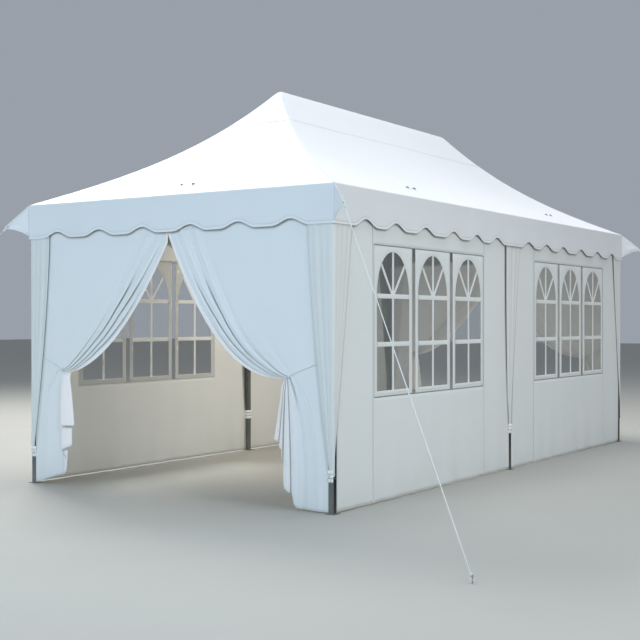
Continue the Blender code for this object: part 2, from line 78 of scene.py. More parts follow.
def patchFaces(patch):
    # Corner numbers of each quad: a point, its right, its lower right and its lower neighbour.
    # They are turned round where the sum of the normals looks away from "facing", or where a
    # closed patch has a negative volume.
    points = patch["points"]
    rows, columns = points.shape[:2]
    index = np.arange(rows * columns).reshape(rows, columns)
    corner = np.arange(rows * (columns + 1)).reshape(rows, columns + 1)[:, :columns + patch["wrap"]]
    if patch["wrap"]:
        index = np.concatenate([index, index[:, :1]], axis=1)
    if patch["wrapRows"]:
        index = np.concatenate([index, index[:1]], axis=0)
        corner = np.concatenate([corner, corner[:1]], axis=0)

    def quads(table):
        return np.stack([table[:-1, :-1], table[:-1, 1:], table[1:, 1:], table[1:, :-1]], axis=-1)

    faces, corners = quads(index), quads(corner)
    if patch["keep"] is not None:
        faces, corners = faces[patch["keep"]], corners[patch["keep"]]
    faces, corners = faces.reshape(-1, 4), corners.reshape(-1, 4)
    flat = points.reshape(-1, 3)
    a, b, c, d = (flat[faces[:, k]] for k in range(4))
    normals = np.cross(c - a, d - b)
    if patch["facing"] is not None:
        turned = (normals @ np.array(patch["facing"], float)).sum() < 0
    else:
        centre = flat.mean(axis=0)
        turned = (((a + b + c + d) / 4 - centre) * normals).sum() < 0
    if turned:
        faces, corners = faces[:, ::-1], corners[:, ::-1]
    rings = []
    if patch["caps"]:
        for row, back in ((0, False), (rows - 1, True)):
            ring = index[row, :columns]
            rings.append(ring[::-1] if back != turned else ring)
    return faces, corners, rings


def addPiece(name, patches, material, merge=0.0):
    # A mesh object of several patches, with a UV map in metres and its layers as attributes.
    allPoints, allFaces, allUv, rings, ringUv = [], [], [], [], []
    layerNames = sorted({key for patch in patches for key in patch["layers"]})
    layers = {key: [] for key in layerNames}
    start = 0
    for patch in patches:
        rows, columns = patch["points"].shape[:2]
        faces, corners, caps = patchFaces(patch)
        uv = patch["uv"]
        if uv is None:
            uv = np.zeros((rows, columns + 1, 2))
        elif uv.shape[1] == columns:
            uv = np.concatenate([uv, uv[:, -1:]], axis=1)
        uv = uv.reshape(-1, 2)
        allPoints.append(patch["points"].reshape(-1, 3))
        allFaces.append(faces + start)
        allUv.append(uv[corners])
        for cap in caps:
            rings.append((cap + start).tolist())
            ringUv.append(uv[cap + cap // columns])
        for key in layerNames:
            values = patch["layers"].get(key, 1.0)
            layers[key].append(np.broadcast_to(values, (rows, columns)).reshape(-1))
        start += rows * columns
    points = np.concatenate(allPoints)
    faces = np.concatenate(allFaces)
    used = np.unique(np.concatenate([faces.reshape(-1)] + [np.array(r) for r in rings]))
    renumber = np.zeros(len(points), int)
    renumber[used] = np.arange(len(used))
    mesh = bpy.data.meshes.new(name)
    mesh.from_pydata(points[used].tolist(), [],
                     renumber[faces].tolist() + [renumber[r].tolist() for r in rings])
    uvMap = mesh.uv_layers.new(name="clothMetres")
    flatUv = np.concatenate([np.concatenate(allUv).reshape(-1, 2)] + ringUv)
    uvMap.data.foreach_set("uv", flatUv.astype(np.float32).reshape(-1))
    for key in layerNames:
        layer = mesh.attributes.new(key, "FLOAT", "POINT")
        layer.data.foreach_set("value", np.concatenate(layers[key])[used].astype(np.float32))
    if merge:
        bm = bmesh.new()
        bm.from_mesh(mesh)
        bmesh.ops.remove_doubles(bm, verts=bm.verts, dist=merge)
        bmesh.ops.dissolve_degenerate(bm, edges=bm.edges, dist=merge / 10)
        bm.to_mesh(mesh)
        bm.free()
    mesh.shade_smooth()
    mesh.materials.append(material)
    piece = bpy.data.objects.new(name, mesh)
    bpy.context.scene.collection.objects.link(piece)
    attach(piece, "root")
    return piece


def thicken(piece, thickness, offset=-1.0):
    # Gives a sheet its thickness behind its face, with a rim all round.
    solid = piece.modifiers.new("thickness", "SOLIDIFY")
    solid.thickness = thickness
    solid.offset = offset
    solid.use_even_offset = False


def lineLength(points):
    # Running length along a line of points.
    steps = np.linalg.norm(np.diff(points, axis=0), axis=1)
    return np.concatenate([[0.0], np.cumsum(steps)])


def unit(vectors):
    # Vectors made one long.
    return vectors / np.linalg.norm(vectors, axis=-1, keepdims=True)


def loopTangent(path):
    # Direction of a closed line at each point: from the point before it to the one after.
    return unit(np.roll(path, -1, axis=0) - np.roll(path, 1, axis=0))


def paired(first, second):
    # Two arrays of one shape, as the two numbers of each point.
    return np.stack(np.broadcast_arrays(first, second), axis=-1)


def fullTurn(count):
    # Angles once round a circle.
    return 2 * math.pi * np.arange(count) / count


def sweep(path, across, out, profile, closedPath=False):
    # A profile carried along a path: each ring is the path's point, plus the profile's first
    # number times the side direction, plus its second number times the outward direction.
    across, out = (np.broadcast_to(np.asarray(way, float), path.shape) for way in (across, out))
    grid = path[:, None] + (profile[None, :, :1] * across[:, None] + profile[None, :, 1:] * out[:, None])
    around = lineLength(np.concatenate([profile, profile[:1]]))
    return gridPatch(grid, uv=paired(lineLength(path)[:, None], around[None, :]), wrap=True,
                     wrapRows=closedPath, caps=not closedPath)


def lens(width, height, count=10, squareness=1.0):
    # A flattened ellipse as a closed profile; squareness below 1 fills its corners.
    c, s = np.cos(fullTurn(count)), np.sin(fullTurn(count))
    return np.stack([width / 2 * np.sign(c) * np.abs(c) ** squareness,
                     height / 2 * np.sign(s) * np.abs(s) ** squareness], axis=-1)


def frameAlong(path, up=(0.0, 0.0, 1.0)):
    # Side and outward directions along a path: the side is tangent x up, made unit length, and
    # the outward one is side x tangent.
    tangent = unit(np.gradient(path, axis=0))
    side = np.cross(tangent, np.array(up, float))
    side /= np.maximum(np.linalg.norm(side, axis=1), 1e-9)[:, None]
    return side, np.cross(side, tangent)


def tubeAlong(path, radius, up=(0.0, 0.0, 1.0), closedPath=False):
    # A round cord: a circle of eight points carried along a path.
    return sweep(path, *frameAlong(path, up), lens(2 * radius, 2 * radius, 8), closedPath=closedPath)


def smoothStep(x):
    # 3x^2 - 2x^3 between 0 and 1.
    x = np.clip(x, 0.0, 1.0)
    return x * x * (3 - 2 * x)


def waves(x, lengths, shifts):
    # The mean of several sines of unlike lengths, from -1 to 1.
    return sum(np.sin(2 * math.pi * x / length + shift)
               for length, shift in zip(lengths, shifts)) / len(lengths)


# Shader helpers and the shared effects. A helper takes sockets or numbers, works in the tree that
# its first socket belongs to, and gives back the new node's socket.

def fill(node, inputs):
    for key, value in inputs.items():
        if isinstance(value, bpy.types.NodeSocket):
            node.id_data.links.new(value, node.inputs[key])
        else:
            node.inputs[key].default_value = value
    return node


def addNode(tree, kind, inputs=None, **settings):
    made = tree.nodes.new("ShaderNode" + kind)
    for key, value in settings.items():
        setattr(made, key, value)
    return fill(made, inputs or {})


def useGroup(tree, group, **inputs):
    return addNode(tree, "Group", inputs, node_tree=group).outputs


def mathNode(operation, *values, clamp=False):
    tree = next(value for value in values if isinstance(value, bpy.types.NodeSocket)).id_data
    return addNode(tree, "Math", dict(enumerate(values)), operation=operation, use_clamp=clamp).outputs[0]


def times(first, second, clamp=False):
    return mathNode("MULTIPLY", first, second, clamp=clamp)


def timesPlus(first, second, added):
    return mathNode("MULTIPLY_ADD", first, second, added)


def mixed(factor, first, second):
    # The first colour where the factor is 0 and the second where it is 1.
    first, second = (value if isinstance(value, bpy.types.NodeSocket) else (*value, 1.0)
                     for value in (first, second))
    return addNode(factor.id_data, "Mix", {"Factor": factor, "A": first, "B": second},
                   data_type="RGBA").outputs["Result"]


def noise(vector, scale, detail, roughness=0.5):
    return addNode(vector.id_data, "TexNoise", {"Vector": vector, "Scale": scale, "Detail": detail,
                                                "Roughness": roughness}).outputs["Fac"]


def ramp(value, low, high, first, last, curve="LINEAR"):
    return addNode(value.id_data, "MapRange", {0: value, 1: low, 2: high, 3: first, 4: last},
                   interpolation_type=curve).outputs[0]


def bumped(height, strength, distance, under=None):
    return addNode(height.id_data, "Bump", {"Height": height, "Strength": strength, "Distance": distance,
                                            **({"Normal": under} if under else {})}).outputs[0]


def attribute(tree, name):
    return addNode(tree, "Attribute", attribute_name=name).outputs["Fac"]


def newGroup(name, inputs, outputs):
    # Inputs are numbers, or vectors where the value is None. All outputs are numbers.
    group = bpy.data.node_groups.new(name, "ShaderNodeTree")
    for label, value in inputs.items():
        kind = "NodeSocketVector" if value is None else "NodeSocketFloat"
        socket = group.interface.new_socket(name=label, in_out="INPUT", socket_type=kind)
        if value is not None:
            socket.default_value = value
    for label in outputs:
        group.interface.new_socket(name=label, in_out="OUTPUT", socket_type="NodeSocketFloat")
    return group, group.nodes.new("NodeGroupInput").outputs, group.nodes.new("NodeGroupOutput")


def makeWeaveGroup():
    # Plain weave: the product of a sine across and a sine along, with its strength varied by
    # a noise, so that threads rise and dip in turn.
    group, given, result = newGroup("plainWeave", {"Vector": None, "Threads": 500.0, "Slub": 0.3},
                                    ["Height"])
    parts = addNode(group, "SeparateXYZ", {0: given["Vector"]}).outputs
    turns = times(given["Threads"], math.pi)
    warp, weft = (mathNode("SINE", times(parts[axis], turns)) for axis in (0, 1))
    uneven = timesPlus(noise(given["Vector"], 40.0, 2.0), given["Slub"], 1.0)
    fill(result, {"Height": times(times(warp, weft), uneven)})
    return group


def makeDustGroup():
    # Dust and splashes: broad cloudy patches, stronger towards the ground.
    group, given, result = newGroup("groundDust",
                                    {"Vector": None, "Amount": 0.3, "Height": 0.35, "Scale": 3.0},
                                    ["Mask", "Tone"])
    height = addNode(group, "SeparateXYZ", {0: given["Vector"]}).outputs[2]
    low = ramp(height, 0.0, given["Height"], 1.0, 0.0, "SMOOTHSTEP")
    cloud = noise(given["Vector"], given["Scale"], 6.0, 0.6)
    fine = noise(given["Vector"], 45.0, 3.0)
    patchy = times(timesPlus(low, 0.85, 0.15), times(cloud, timesPlus(fine, 0.8, 0.6)))
    fill(result, {"Mask": times(patchy, given["Amount"], clamp=True), "Tone": cloud})
    return group


def makeSewnEdgeGroup():
    # A turned hem: the cloth is double up to "Width" from its edge, and a row of stitches runs
    # just inside that line. "Distance" is measured from the edge and "Run" along it.
    group, given, result = newGroup("sewnEdge",
                                    {"Distance": 1.0, "Run": 0.0, "Width": 0.022, "Stitch": 0.006},
                                    ["Height", "Stitches"])
    step = ramp(given["Distance"], mathNode("SUBTRACT", given["Width"], 0.0015), given["Width"], 1.0, 0.0)
    line = mathNode("ABSOLUTE", mathNode("SUBTRACT", given["Distance"], times(given["Width"], 0.82)))
    beat = mathNode("FRACT", mathNode("DIVIDE", given["Run"], given["Stitch"]))
    stitches = times(mathNode("LESS_THAN", line, 0.0011), mathNode("LESS_THAN", beat, 0.68))
    fill(result, {"Height": timesPlus(stitches, -0.5, step), "Stitches": stitches})
    return group


def makeCreaseGroup():
    # Faint creases from being folded away: sharp-bottomed lines a fixed spacing apart, bent and
    # broken up by noise.
    group, given, result = newGroup("foldedAway", {"Vector": None, "Spacing": 0.5, "Wander": 0.03},
                                    ["Height"])
    moved = times(mathNode("SUBTRACT", noise(given["Vector"], 1.7, 3.0), 0.5), given["Wander"])
    parts = addNode(group, "SeparateXYZ", {0: given["Vector"]}).outputs
    lines = []
    for axis in (0, 1):
        place = mathNode("DIVIDE", mathNode("ADD", parts[axis], moved), given["Spacing"])
        centred = mathNode("ABSOLUTE", mathNode("SUBTRACT", mathNode("FRACT", place), 0.5))
        lines.append(ramp(centred, 0.0, 0.05, 1.0, 0.0, "SMOOTHSTEP"))
    faded = noise(given["Vector"], 2.6, 2.0)
    fill(result, {"Height": times(mathNode("MAXIMUM", *lines), faded)})
    return group


def makeWearGroup():
    # Worn paint: scratches along the tube and rubbed edges, from stretched noise and from how
    # sharply the surface turns.
    group, given, result = newGroup("rubbedEdges", {"Vector": None, "Amount": 0.5, "Grain": 60.0},
                                    ["Mask", "Height"])
    stretched = addNode(group, "Mapping", {"Vector": given["Vector"], "Scale": (1.0, 1.0, 0.12)}).outputs[0]
    streaks = noise(stretched, given["Grain"], 5.0, 0.65)
    rubbed = ramp(addNode(group, "NewGeometry").outputs["Pointiness"], 0.51, 0.58, 0.0, 1.0)
    scratched = ramp(streaks, 0.66, 0.74, 0.0, 0.8)
    both = mathNode("MAXIMUM", times(rubbed, streaks), scratched)
    fill(result, {"Mask": times(both, given["Amount"], clamp=True),
                  "Height": noise(given["Vector"], 420.0, 2.0)})
    return group


weave, dust, sewnEdge = makeWeaveGroup(), makeDustGroup(), makeSewnEdgeGroup()
foldedAway, rubbedEdges = makeCreaseGroup(), makeWearGroup()


def startMaterial(name):
    # A new material, its tree, its shader, and the object and UV coordinates in it.
    material = bpy.data.materials.new(name)
    material.use_nodes = True
    tree = material.node_tree
    where = addNode(tree, "TexCoord").outputs
    return material, tree, tree.nodes["Principled BSDF"], where["Object"], where["UV"]


clothShared = {
    "toneAmount": 0.5, "dust": 0.10, "dustHeight": 0.30, "roughness": 0.60, "threads": 420.0, "weave": 0.25,
    "creaseSpacing": 5.0, "crease": 0.0, "hem": 0.002, "sheen": 0.1, "gloss": 0.4,
    # Colours of dust, stitches, the painted shade line and the painted glow
    "dustColour": (0.42, 0.40, 0.34), "threadColour": (0.45, 0.47, 0.50), "paintedShadeColour": (0.05, 0.06, 0.045),
    "paintedGlowColour": (0.15, 0.105, 0.085),
}


def makeCloth(name, **changes):
    # Coated cloth: a base colour toned by broad noise and dust, with weave, old creases and
    # sewn hems in its bump. Painted shade darkens it beside and behind other cloth and in folds,
    # and an emission glow stands in for light coming through it: painted light.
    look = {**clothShared, **changes}
    material, tree, shader, place, clothPlace = startMaterial(name)
    soiled = useGroup(tree, dust, Vector=place, Amount=look["dust"], Height=look["dustHeight"])
    hem = useGroup(tree, sewnEdge, Distance=attribute(tree, "hemDistance"), Run=attribute(tree, "hemRun"),
                   Width=look["hem"])
    colour = mixed(times(soiled["Tone"], look["toneAmount"]), look["colour"], look["shade"])
    colour = mixed(soiled["Mask"], colour, look["dustColour"])
    colour = mixed(times(hem["Stitches"], 0.35), colour, look["threadColour"])
    # Painted shade: a dark line beside and behind the edge of another cloth, and in folds and grooves
    close = attribute(tree, "shelter")
    beside = ramp(close, 0.45, 0.92, 0.0, 0.60, "SMOOTHSTEP")
    behind = ramp(close, 0.98, 1.10, 0.0, 0.25)
    colour = mixed(mathNode("ADD", beside, behind), colour, look["paintedShadeColour"])
    rough = timesPlus(soiled["Tone"], 0.14, look["roughness"] - 0.07)
    threads = useGroup(tree, weave, Vector=clothPlace, Threads=look["threads"])
    creased = useGroup(tree, foldedAway, Vector=clothPlace, Spacing=look["creaseSpacing"])
    woven = bumped(threads["Height"], look["weave"], 0.0004)
    folded = bumped(creased["Height"], look["crease"], 0.004, woven)
    # Painted light: an emission glow stands in for the light that comes through where the cloth is single
    # and stands away from the rest
    through = mixed(attribute(tree, "litThrough"), (0.0, 0.0, 0.0), look["paintedGlowColour"])
    fill(shader, {"Base Color": colour, "Roughness": mathNode("ADD", rough, times(soiled["Mask"], 0.3)),
                  "Normal": bumped(hem["Height"], 0.8, 0.0015, folded), "Emission Color": through,
                  "Emission Strength": 1.0, "Sheen Weight": look["sheen"], "Sheen Roughness": 0.5,
                  "Specular IOR Level": look["gloss"]})
    return material


canopyLook = {"dustHeight": 0.4, "roughness": 0.55, "creaseSpacing": 0.75, "crease": 0.10, "hem": 0.020,
              "sheen": 0.08}
canopyCloth = makeCloth("canopyCloth", colour=(0.88, 0.885, 0.89), shade=(0.82, 0.83, 0.845), **canopyLook)
# The leg covers' cloth: a darker, warmer copy of the canopy cloth, standing in for the shade the covers hang
# in: painted shade
coverCloth = makeCloth("coverCloth", colour=(0.835, 0.83, 0.80), shade=(0.775, 0.775, 0.76), **canopyLook)
wallCloth = makeCloth("wallCloth", colour=(0.875, 0.885, 0.865), shade=(0.81, 0.825, 0.81), dust=0.18,
                      creaseSpacing=0.62, crease=0.12, hem=0.024, sheen=0.08)
curtainCloth = makeCloth("curtainCloth", colour=(0.91, 0.91, 0.90), shade=(0.85, 0.86, 0.87), dust=0.20,
                         threads=480.0, creaseSpacing=6.0, hem=0.022, sheen=0.12, gloss=0.35)
tapeCloth = makeCloth("seamTape", colour=(0.80, 0.81, 0.82), shade=(0.72, 0.74, 0.76), toneAmount=0.6,
                      dust=0.15, roughness=0.65, threads=900.0, weave=0.5, gloss=0.3)
bindingCloth = makeCloth("hemBinding", colour=(0.93, 0.935, 0.93), shade=(0.88, 0.885, 0.88), dust=0.08,
                         roughness=0.55, threads=900.0, weave=0.3, gloss=0.35)
# A near-black cloth for the legs' outer faces: painted shade
paintedShadeTape = makeCloth("paintedShadeTape", colour=(0.012, 0.015, 0.015), shade=(0.020, 0.024, 0.023), toneAmount=1.0,
                     dust=0.25, dustHeight=0.25, roughness=0.85, threads=700.0, weave=0.8, sheen=0.0,
                     gloss=0.1)
print("cloth finishes ready")


# Canopy: roof and valance in one sheet

canopy = {
    "slopeShare": 0.64, "ridgeRound": 0.05, "hipRound": 0.030, "eaveFold": 0.009, "cornerRound": 0.012,
    "columnStep": 0.021, "roofRows": 25, "valanceRows": 13, "sag": 0.010, "ripple": 0.0022,
    "seamShare": 0.785, "pucker": 0.0022, "puckerLength": 0.075, "valanceWave": 0.0045,
    "pull": 0.0035, "thickness": 0.0022, "binding": (0.014, 0.0048), "hipTape": (0.020, 0.0030),
    "ridgeTape": (0.026, 0.0030), "capTape": (0.014, 0.0026),
}
# Notches in the valance's hem, by their places along the front and the right-hand side. The rear
# and the left-hand side are the same, turned half round.
notches = {
    "end": {"half": 0.166, "lift": 0.050, "places": (-1.191, -0.722, -0.264, 0.217, 0.673, 1.147)},
    "side": {"half": 0.178, "lift": 0.057,
             "places": (-2.587, -2.140, -1.666, -1.167, -0.732, -0.313, 0.391, 0.834, 1.261, 1.757, 2.245,
                        2.691)},
}
run = tent["eaveX"]
rise = tent["peakZ"] - tent["eaveZ"]
ridgeSlope = (3 - 2 * canopy["slopeShare"]) / run


def roofHeight(inset):
    # Eave height, plus the rise times (k s + (1 - k) s^3), where s is how far in from the eave the
    # point is, as a share of the way to the ridge. The last 50 mm are rounded by a parabola.
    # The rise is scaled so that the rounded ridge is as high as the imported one.
    scale = rise / (1 - ridgeSlope * canopy["ridgeRound"] / 2)
    share = np.clip(inset / run, 0.0, 1.0)
    height = canopy["slopeShare"] * share + (1 - canopy["slopeShare"]) * share ** 3
    toRidge = np.maximum(run - inset, 0.0)
    rounded = canopy["ridgeRound"] / 2 + toRidge ** 2 / (2 * canopy["ridgeRound"])
    near = toRidge < canopy["ridgeRound"]
    return tent["eaveZ"] + scale * np.where(near, 1 - ridgeSlope * rounded, height)


def hemLift(place, kind):
    # Height of the valance's hem above its lowest line: one cosine wave over each notch.
    cut = notches[kind]
    turn = np.clip((np.asarray(place)[..., None] - np.array(cut["places"])) / cut["half"], -1.0, 1.0)
    return cut["lift"] * (1 + np.cos(math.pi * turn)).sum(axis=-1) / 2


def shelter(distance, most=3.0):
    # How close a place is to the edge of the cloth that hangs in front of it: 1 at that edge, 0 from
    # 60 mm off it, and above 1 behind it. It sets where a painted shade line is drawn.
    return np.clip(1 - distance / 0.06, 0.0, most)


cornerSigns = ((1, -1), (1, 1), (-1, 1), (-1, -1))   # of x and y, where each side ends


def sideFactors(side, along):
    # Plan factors of places along one side, from -1 to 1 of its length.
    one, zero = np.ones_like(along), np.zeros_like(along)
    return ((along, zero, -one, -one), (one, one, along, zero), (-along, zero, one, one),
            (-one, -one, -along, zero))[side] + (one * side, along)


def outlineColumns():
    # Once round the plan, as four factors a column: x = a (hx - r) + b r and y = c (hy - r) + d r,
    # for a rectangle of half sizes hx and hy with corners of radius r. The fifth number is the
    # side, from 0 at the front to 3 at the left, and the sixth the place along that side.
    columns = []
    for side in range(4):
        length = 2 * (tent["eaveX"] if side % 2 == 0 else tent["eaveY"])
        count = max(2, round(length / canopy["columnStep"])) + 1
        columns.append(sideFactors(side, np.linspace(-1, 1, count)))
        angle = (side - 1 + np.array([0.2, 0.4, 0.6, 0.8])) * math.pi / 2
        signX, signY = cornerSigns[side]
        one = np.ones_like(angle)
        columns.append((one * signX, np.cos(angle), one * signY, np.sin(angle), one * side, one))
    return np.concatenate([np.array(c) for c in columns], axis=1)


def canopySurface(inset, drop, factors):
    # Points of the canopy for an inset from the eave and a drop below it (arrays of one shape),
    # at the plan factors of a column. The roof sags between its hips and ripples near the eave;
    # the valance waves in and out, more towards its hem, and is pulled in at half height.
    a, b, c, d, side, along = factors
    share = inset / run
    corner = np.minimum(canopy["cornerRound"] + (canopy["hipRound"] - canopy["cornerRound"])
                        * smoothStep(share * 5), np.maximum(run - inset, 0.0))
    halfX, halfY = tent["eaveX"] - inset, tent["eaveY"] - inset
    x = a * (halfX - corner) + b * corner
    y = c * (halfY - corner) + d * corner
    place = np.where(side % 2 == 0, x, y)
    isLong = side % 2 == 1
    calm = 1 - np.abs(along) ** 6
    z = roofHeight(inset)
    bays = np.where(isLong, 0.5 - 0.5 * np.cos(2 * math.pi * (y / tent["bay"])), 1.0)
    z = z - canopy["sag"] * calm * np.sin(math.pi * share) ** 1.4 * np.where(isLong, 0.4 + 0.6 * bays, 1.0)
    turn = np.where(side < 2, 0.0, 2.1)
    ripples = waves(place, (0.83, 0.47, 0.29, 0.19), (0.4, 1.9, 2.6, 0.7)) * np.cos(3.1 * place + turn)
    z = z + canopy["ripple"] * ripples * calm * (1 - share) ** 2 * smoothStep(share * 9)
    seam = (share - canopy["seamShare"]) * run * 1.3
    puckers = np.sin(2 * math.pi * place / canopy["puckerLength"]) * np.sin(place * 5.3 + 0.8)
    z = z + canopy["pucker"] * puckers * calm * np.exp(-(seam / 0.05) ** 2) * (share > 0)
    hang = drop / (tent["eaveZ"] - tent["hemZ"])
    wave = (waves(place, (0.92, 0.41, 0.66), (0.3, 1.1, 2.9))
            + 0.6 * np.sin(2 * math.pi * place / 0.46 + 0.5))
    outward = canopy["valanceWave"] * wave * hang ** 1.3 * calm
    outward = outward - canopy["pull"] * np.sin(math.pi * np.clip(hang, 0, 1)) * calm
    x = x + np.where(isLong, np.sign(a), 0.0) * outward
    y = y + np.where(isLong, 0.0, np.sign(c)) * outward
    return np.stack([x, y, z - drop], axis=-1)


def makeCanopy():
    # Rows from the ridge down: over the roof, round the eave on an arc, and down the valance to
    # its hem, all of them on canopySurface.
    factors = outlineColumns()
    along = factors[5]
    fold = canopy["eaveFold"]
    slope = math.atan(canopy["slopeShare"] * rise / run)
    toRidge = np.array([0.0, 0.006, 0.014, 0.024, 0.036, 0.050])
    lastInset = fold * (1 - math.cos(math.pi / 2 - slope))
    main = np.linspace(run - toRidge[-1], 0.05, canopy["roofRows"])[1:]
    seamRows = run * canopy["seamShare"] + np.array([0.024, 0.012, 0.0, -0.012, -0.024])
    main = np.sort(np.concatenate([main[np.abs(main - seamRows[2]) > 0.03], seamRows, [0.03, 0.018]]))[::-1]
    insets = np.concatenate([run - toRidge, main, [lastInset]])
    turn = np.linspace(math.pi / 2 - slope, 0.0, 6)[1:]
    foldInsets = fold * (1 - np.cos(turn))
    centreZ = roofHeight(np.array([lastInset]))[0] - fold * math.cos(slope)
    foldDrops = roofHeight(foldInsets) - (centreZ + fold * np.sin(turn))
    place = np.where(factors[4] % 2 == 0, along * tent["eaveX"], along * tent["eaveY"])
    lift = np.where(factors[4] % 2 == 0, hemLift(place, "end"), hemLift(place, "side"))
    hem = tent["eaveZ"] - tent["hemZ"] - lift
    part = np.linspace(0, 1, canopy["valanceRows"] + 1)[1:]
    roofDrop = np.zeros((len(insets), factors.shape[1]))
    foldDrop = np.broadcast_to(foldDrops[:, None], (len(foldDrops), factors.shape[1]))
    valanceDrop = foldDrops[-1] + part[:, None] * (hem - foldDrops[-1])
    drop = np.concatenate([roofDrop, foldDrop, valanceDrop])
    inset = np.concatenate([insets, foldInsets, np.zeros(len(part))])[:, None] + np.zeros_like(drop)
    points = canopySurface(inset, drop, factors[:, None, :])
    down = lineLength(np.stack([inset[:, 0], roofHeight(inset[:, 0]) - drop[:, 0]], axis=-1))
    tangential = np.where(factors[4] % 2 == 0, points[..., 0], points[..., 1])
    uv = np.stack([np.concatenate([tangential, tangential[:, :1]], axis=1),
                   np.broadcast_to(down[:, None], (len(down), drop.shape[1] + 1))], axis=-1)
    hemDistance = np.where(drop > 0.05, hem[None, :] - drop, 1.0)
    piece = addPiece("canopy", [gridPatch(points, uv=uv, facing=(0, 0, 1), wrap=True,
                                          hemDistance=hemDistance, hemRun=tangential)],
                     canopyCloth, merge=0.0002)
    thicken(piece, canopy["thickness"])
    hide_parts(*[f"{kind}_{where}" for kind in ("roof", "valance") for where in (*ends, *sides)])
    return factors, hem


canopyFactors, canopyHem = makeCanopy()


def makeHemBinding():
    # Bias binding: a flattened tube carried along the valance's hem, once round the tent.
    factors, hem = canopyFactors, canopyHem
    path = canopySurface(np.zeros_like(hem), hem, factors)
    path = path - np.array([0, 0, 1.0]) * 0.001
    keep = np.linalg.norm(np.diff(path, axis=0, append=path[:1]), axis=1) > 0.0005
    path, factors = path[keep], factors[:, keep]
    outward = unit(np.stack([factors[1], factors[3], np.zeros(len(path))], axis=-1))
    up = unit(np.cross(outward, loopTangent(path)))
    patch = sweep(path - outward * canopy["thickness"] / 2, up, outward,
                  lens(*canopy["binding"], 12, 0.5), closedPath=True)
    addPiece("hem_binding", [patch], bindingCloth)


makeHemBinding()


def makeCanopySeams():
    # Sewn tapes on the canopy: over the ridge, down each hip and round the peak's cap, each a
    # flattened profile carried over the cloth's own surface.
    patches = []
    profile = lens(*canopy["hipTape"], 10, 0.8)
    y = np.linspace(-(tent["eaveY"] - run), tent["eaveY"] - run, 80)
    top = tent["peakZ"] + 0.0006
    path = np.stack([0 * y, y, 0 * y + top], axis=-1)
    patches.append(sweep(path, *frameAlong(path), lens(*canopy["ridgeTape"], 10, 0.8)))
    insets = np.linspace(run - 0.004, 0.004, 70)
    for quarter in range(4):
        angle = (quarter - 0.5) * math.pi / 2
        signX, signY = cornerSigns[quarter]
        factors = [np.full_like(insets, v) for v in (signX, math.cos(angle), signY, math.sin(angle), 0, 1)]
        path = canopySurface(insets, 0 * insets, factors)
        side, out = frameAlong(path)
        patches.append(sweep(path + out * 0.0008, side, out, profile))
    factors = canopyFactors
    level = np.full(factors.shape[1], canopy["seamShare"] * run)
    path = canopySurface(level, 0 * level, factors)
    keep = np.linalg.norm(np.diff(path, axis=0, append=path[:1]), axis=1) > 0.004
    path = path[keep]
    tangent = loopTangent(path)
    below = canopySurface(level - 0.01, 0 * level, factors)[keep] - path
    below = unit(below - (below * tangent).sum(axis=1)[:, None] * tangent)
    out = np.cross(tangent, below)
    out *= np.sign(out[:, 2])[:, None]
    patches.append(sweep(path + out * 0.0006, below, out, lens(*canopy["capTape"], 10, 0.8),
                         closedPath=True))
    addPiece("canopy_seams", patches, tapeCloth)


makeCanopySeams()
print("canopy made")


# Outline of the leg covers, which the cloth behind them needs too

cover = {
    "endWidth": 0.228, "sideWidth": 0.246, "endGather": 0.032, "sideGather": -0.012, "endTaper": 1.4,
    "sideTaper": 1.05, "frontHalf": 0.100, "rearHalf": 0.204, "middleGather": 0.022, "cornerTie": 0.262,
    "middleTie": 0.385, "edgeCurl": 0.004, "aboveLeg": 0.0060,
    "round": 0.030, "roundLow": 0.007, "rows": 64, "faceColumns": 26, "fold": 0.0045, "foldLow": 0.0030,
    "thickness": 0.0018, "tuck": 0.050, "inside": 0.0060,
}


def coverWidth(which, down):
    # Width of a cover's end or side face: full at the top, gathered at the tie.
    gather = cover[which + "Gather"]
    width = gather + (cover[which + "Width"] - gather) * (1 - np.clip(down, 0, 1) ** cover[which + "Taper"])
    return np.maximum(width, 0.001)


def coverFace(legFace, eave, down):
    # How far out a cover's face is: just inside the valance at the top, on the leg below.
    high, low = eave - cover["inside"], legFace + cover["aboveLeg"]
    return high + (low - high) * np.clip(down, 0, 1) ** 0.9


def middleHalves(down):
    # Reach of the middle cover towards the front and towards the rear.
    gather = cover["middleGather"]
    return (gather + (cover["frontHalf"] - gather) * (1 - down ** 2.5),
            gather + (cover["rearHalf"] - gather) * (1 - down) ** 1.4)


def cornerEdge(z, which):
    # How far from the tent's middle a corner cover's free edge is, across ("end") or along ("side").
    down = np.clip((tent["hemZ"] - z) / (tent["hemZ"] - cover["cornerTie"]), 0, 1)
    axis = "X" if which == "end" else "Y"
    edge = coverFace(tent["legFace" + axis], tent["eave" + axis], down) - coverWidth(which, down)
    return np.where(z < cover["cornerTie"], 9.0, edge)


def middleEdge(z, sy):
    # How far from the middle leg its cover reaches, in the front bay or the rear one.
    down = np.clip((tent["hemZ"] - z) / (tent["hemZ"] - cover["middleTie"]), 0, 1)
    return np.where(z < cover["middleTie"], -9.0, middleHalves(down)[0 if sy < 0 else 1])


# Side walls with their window units

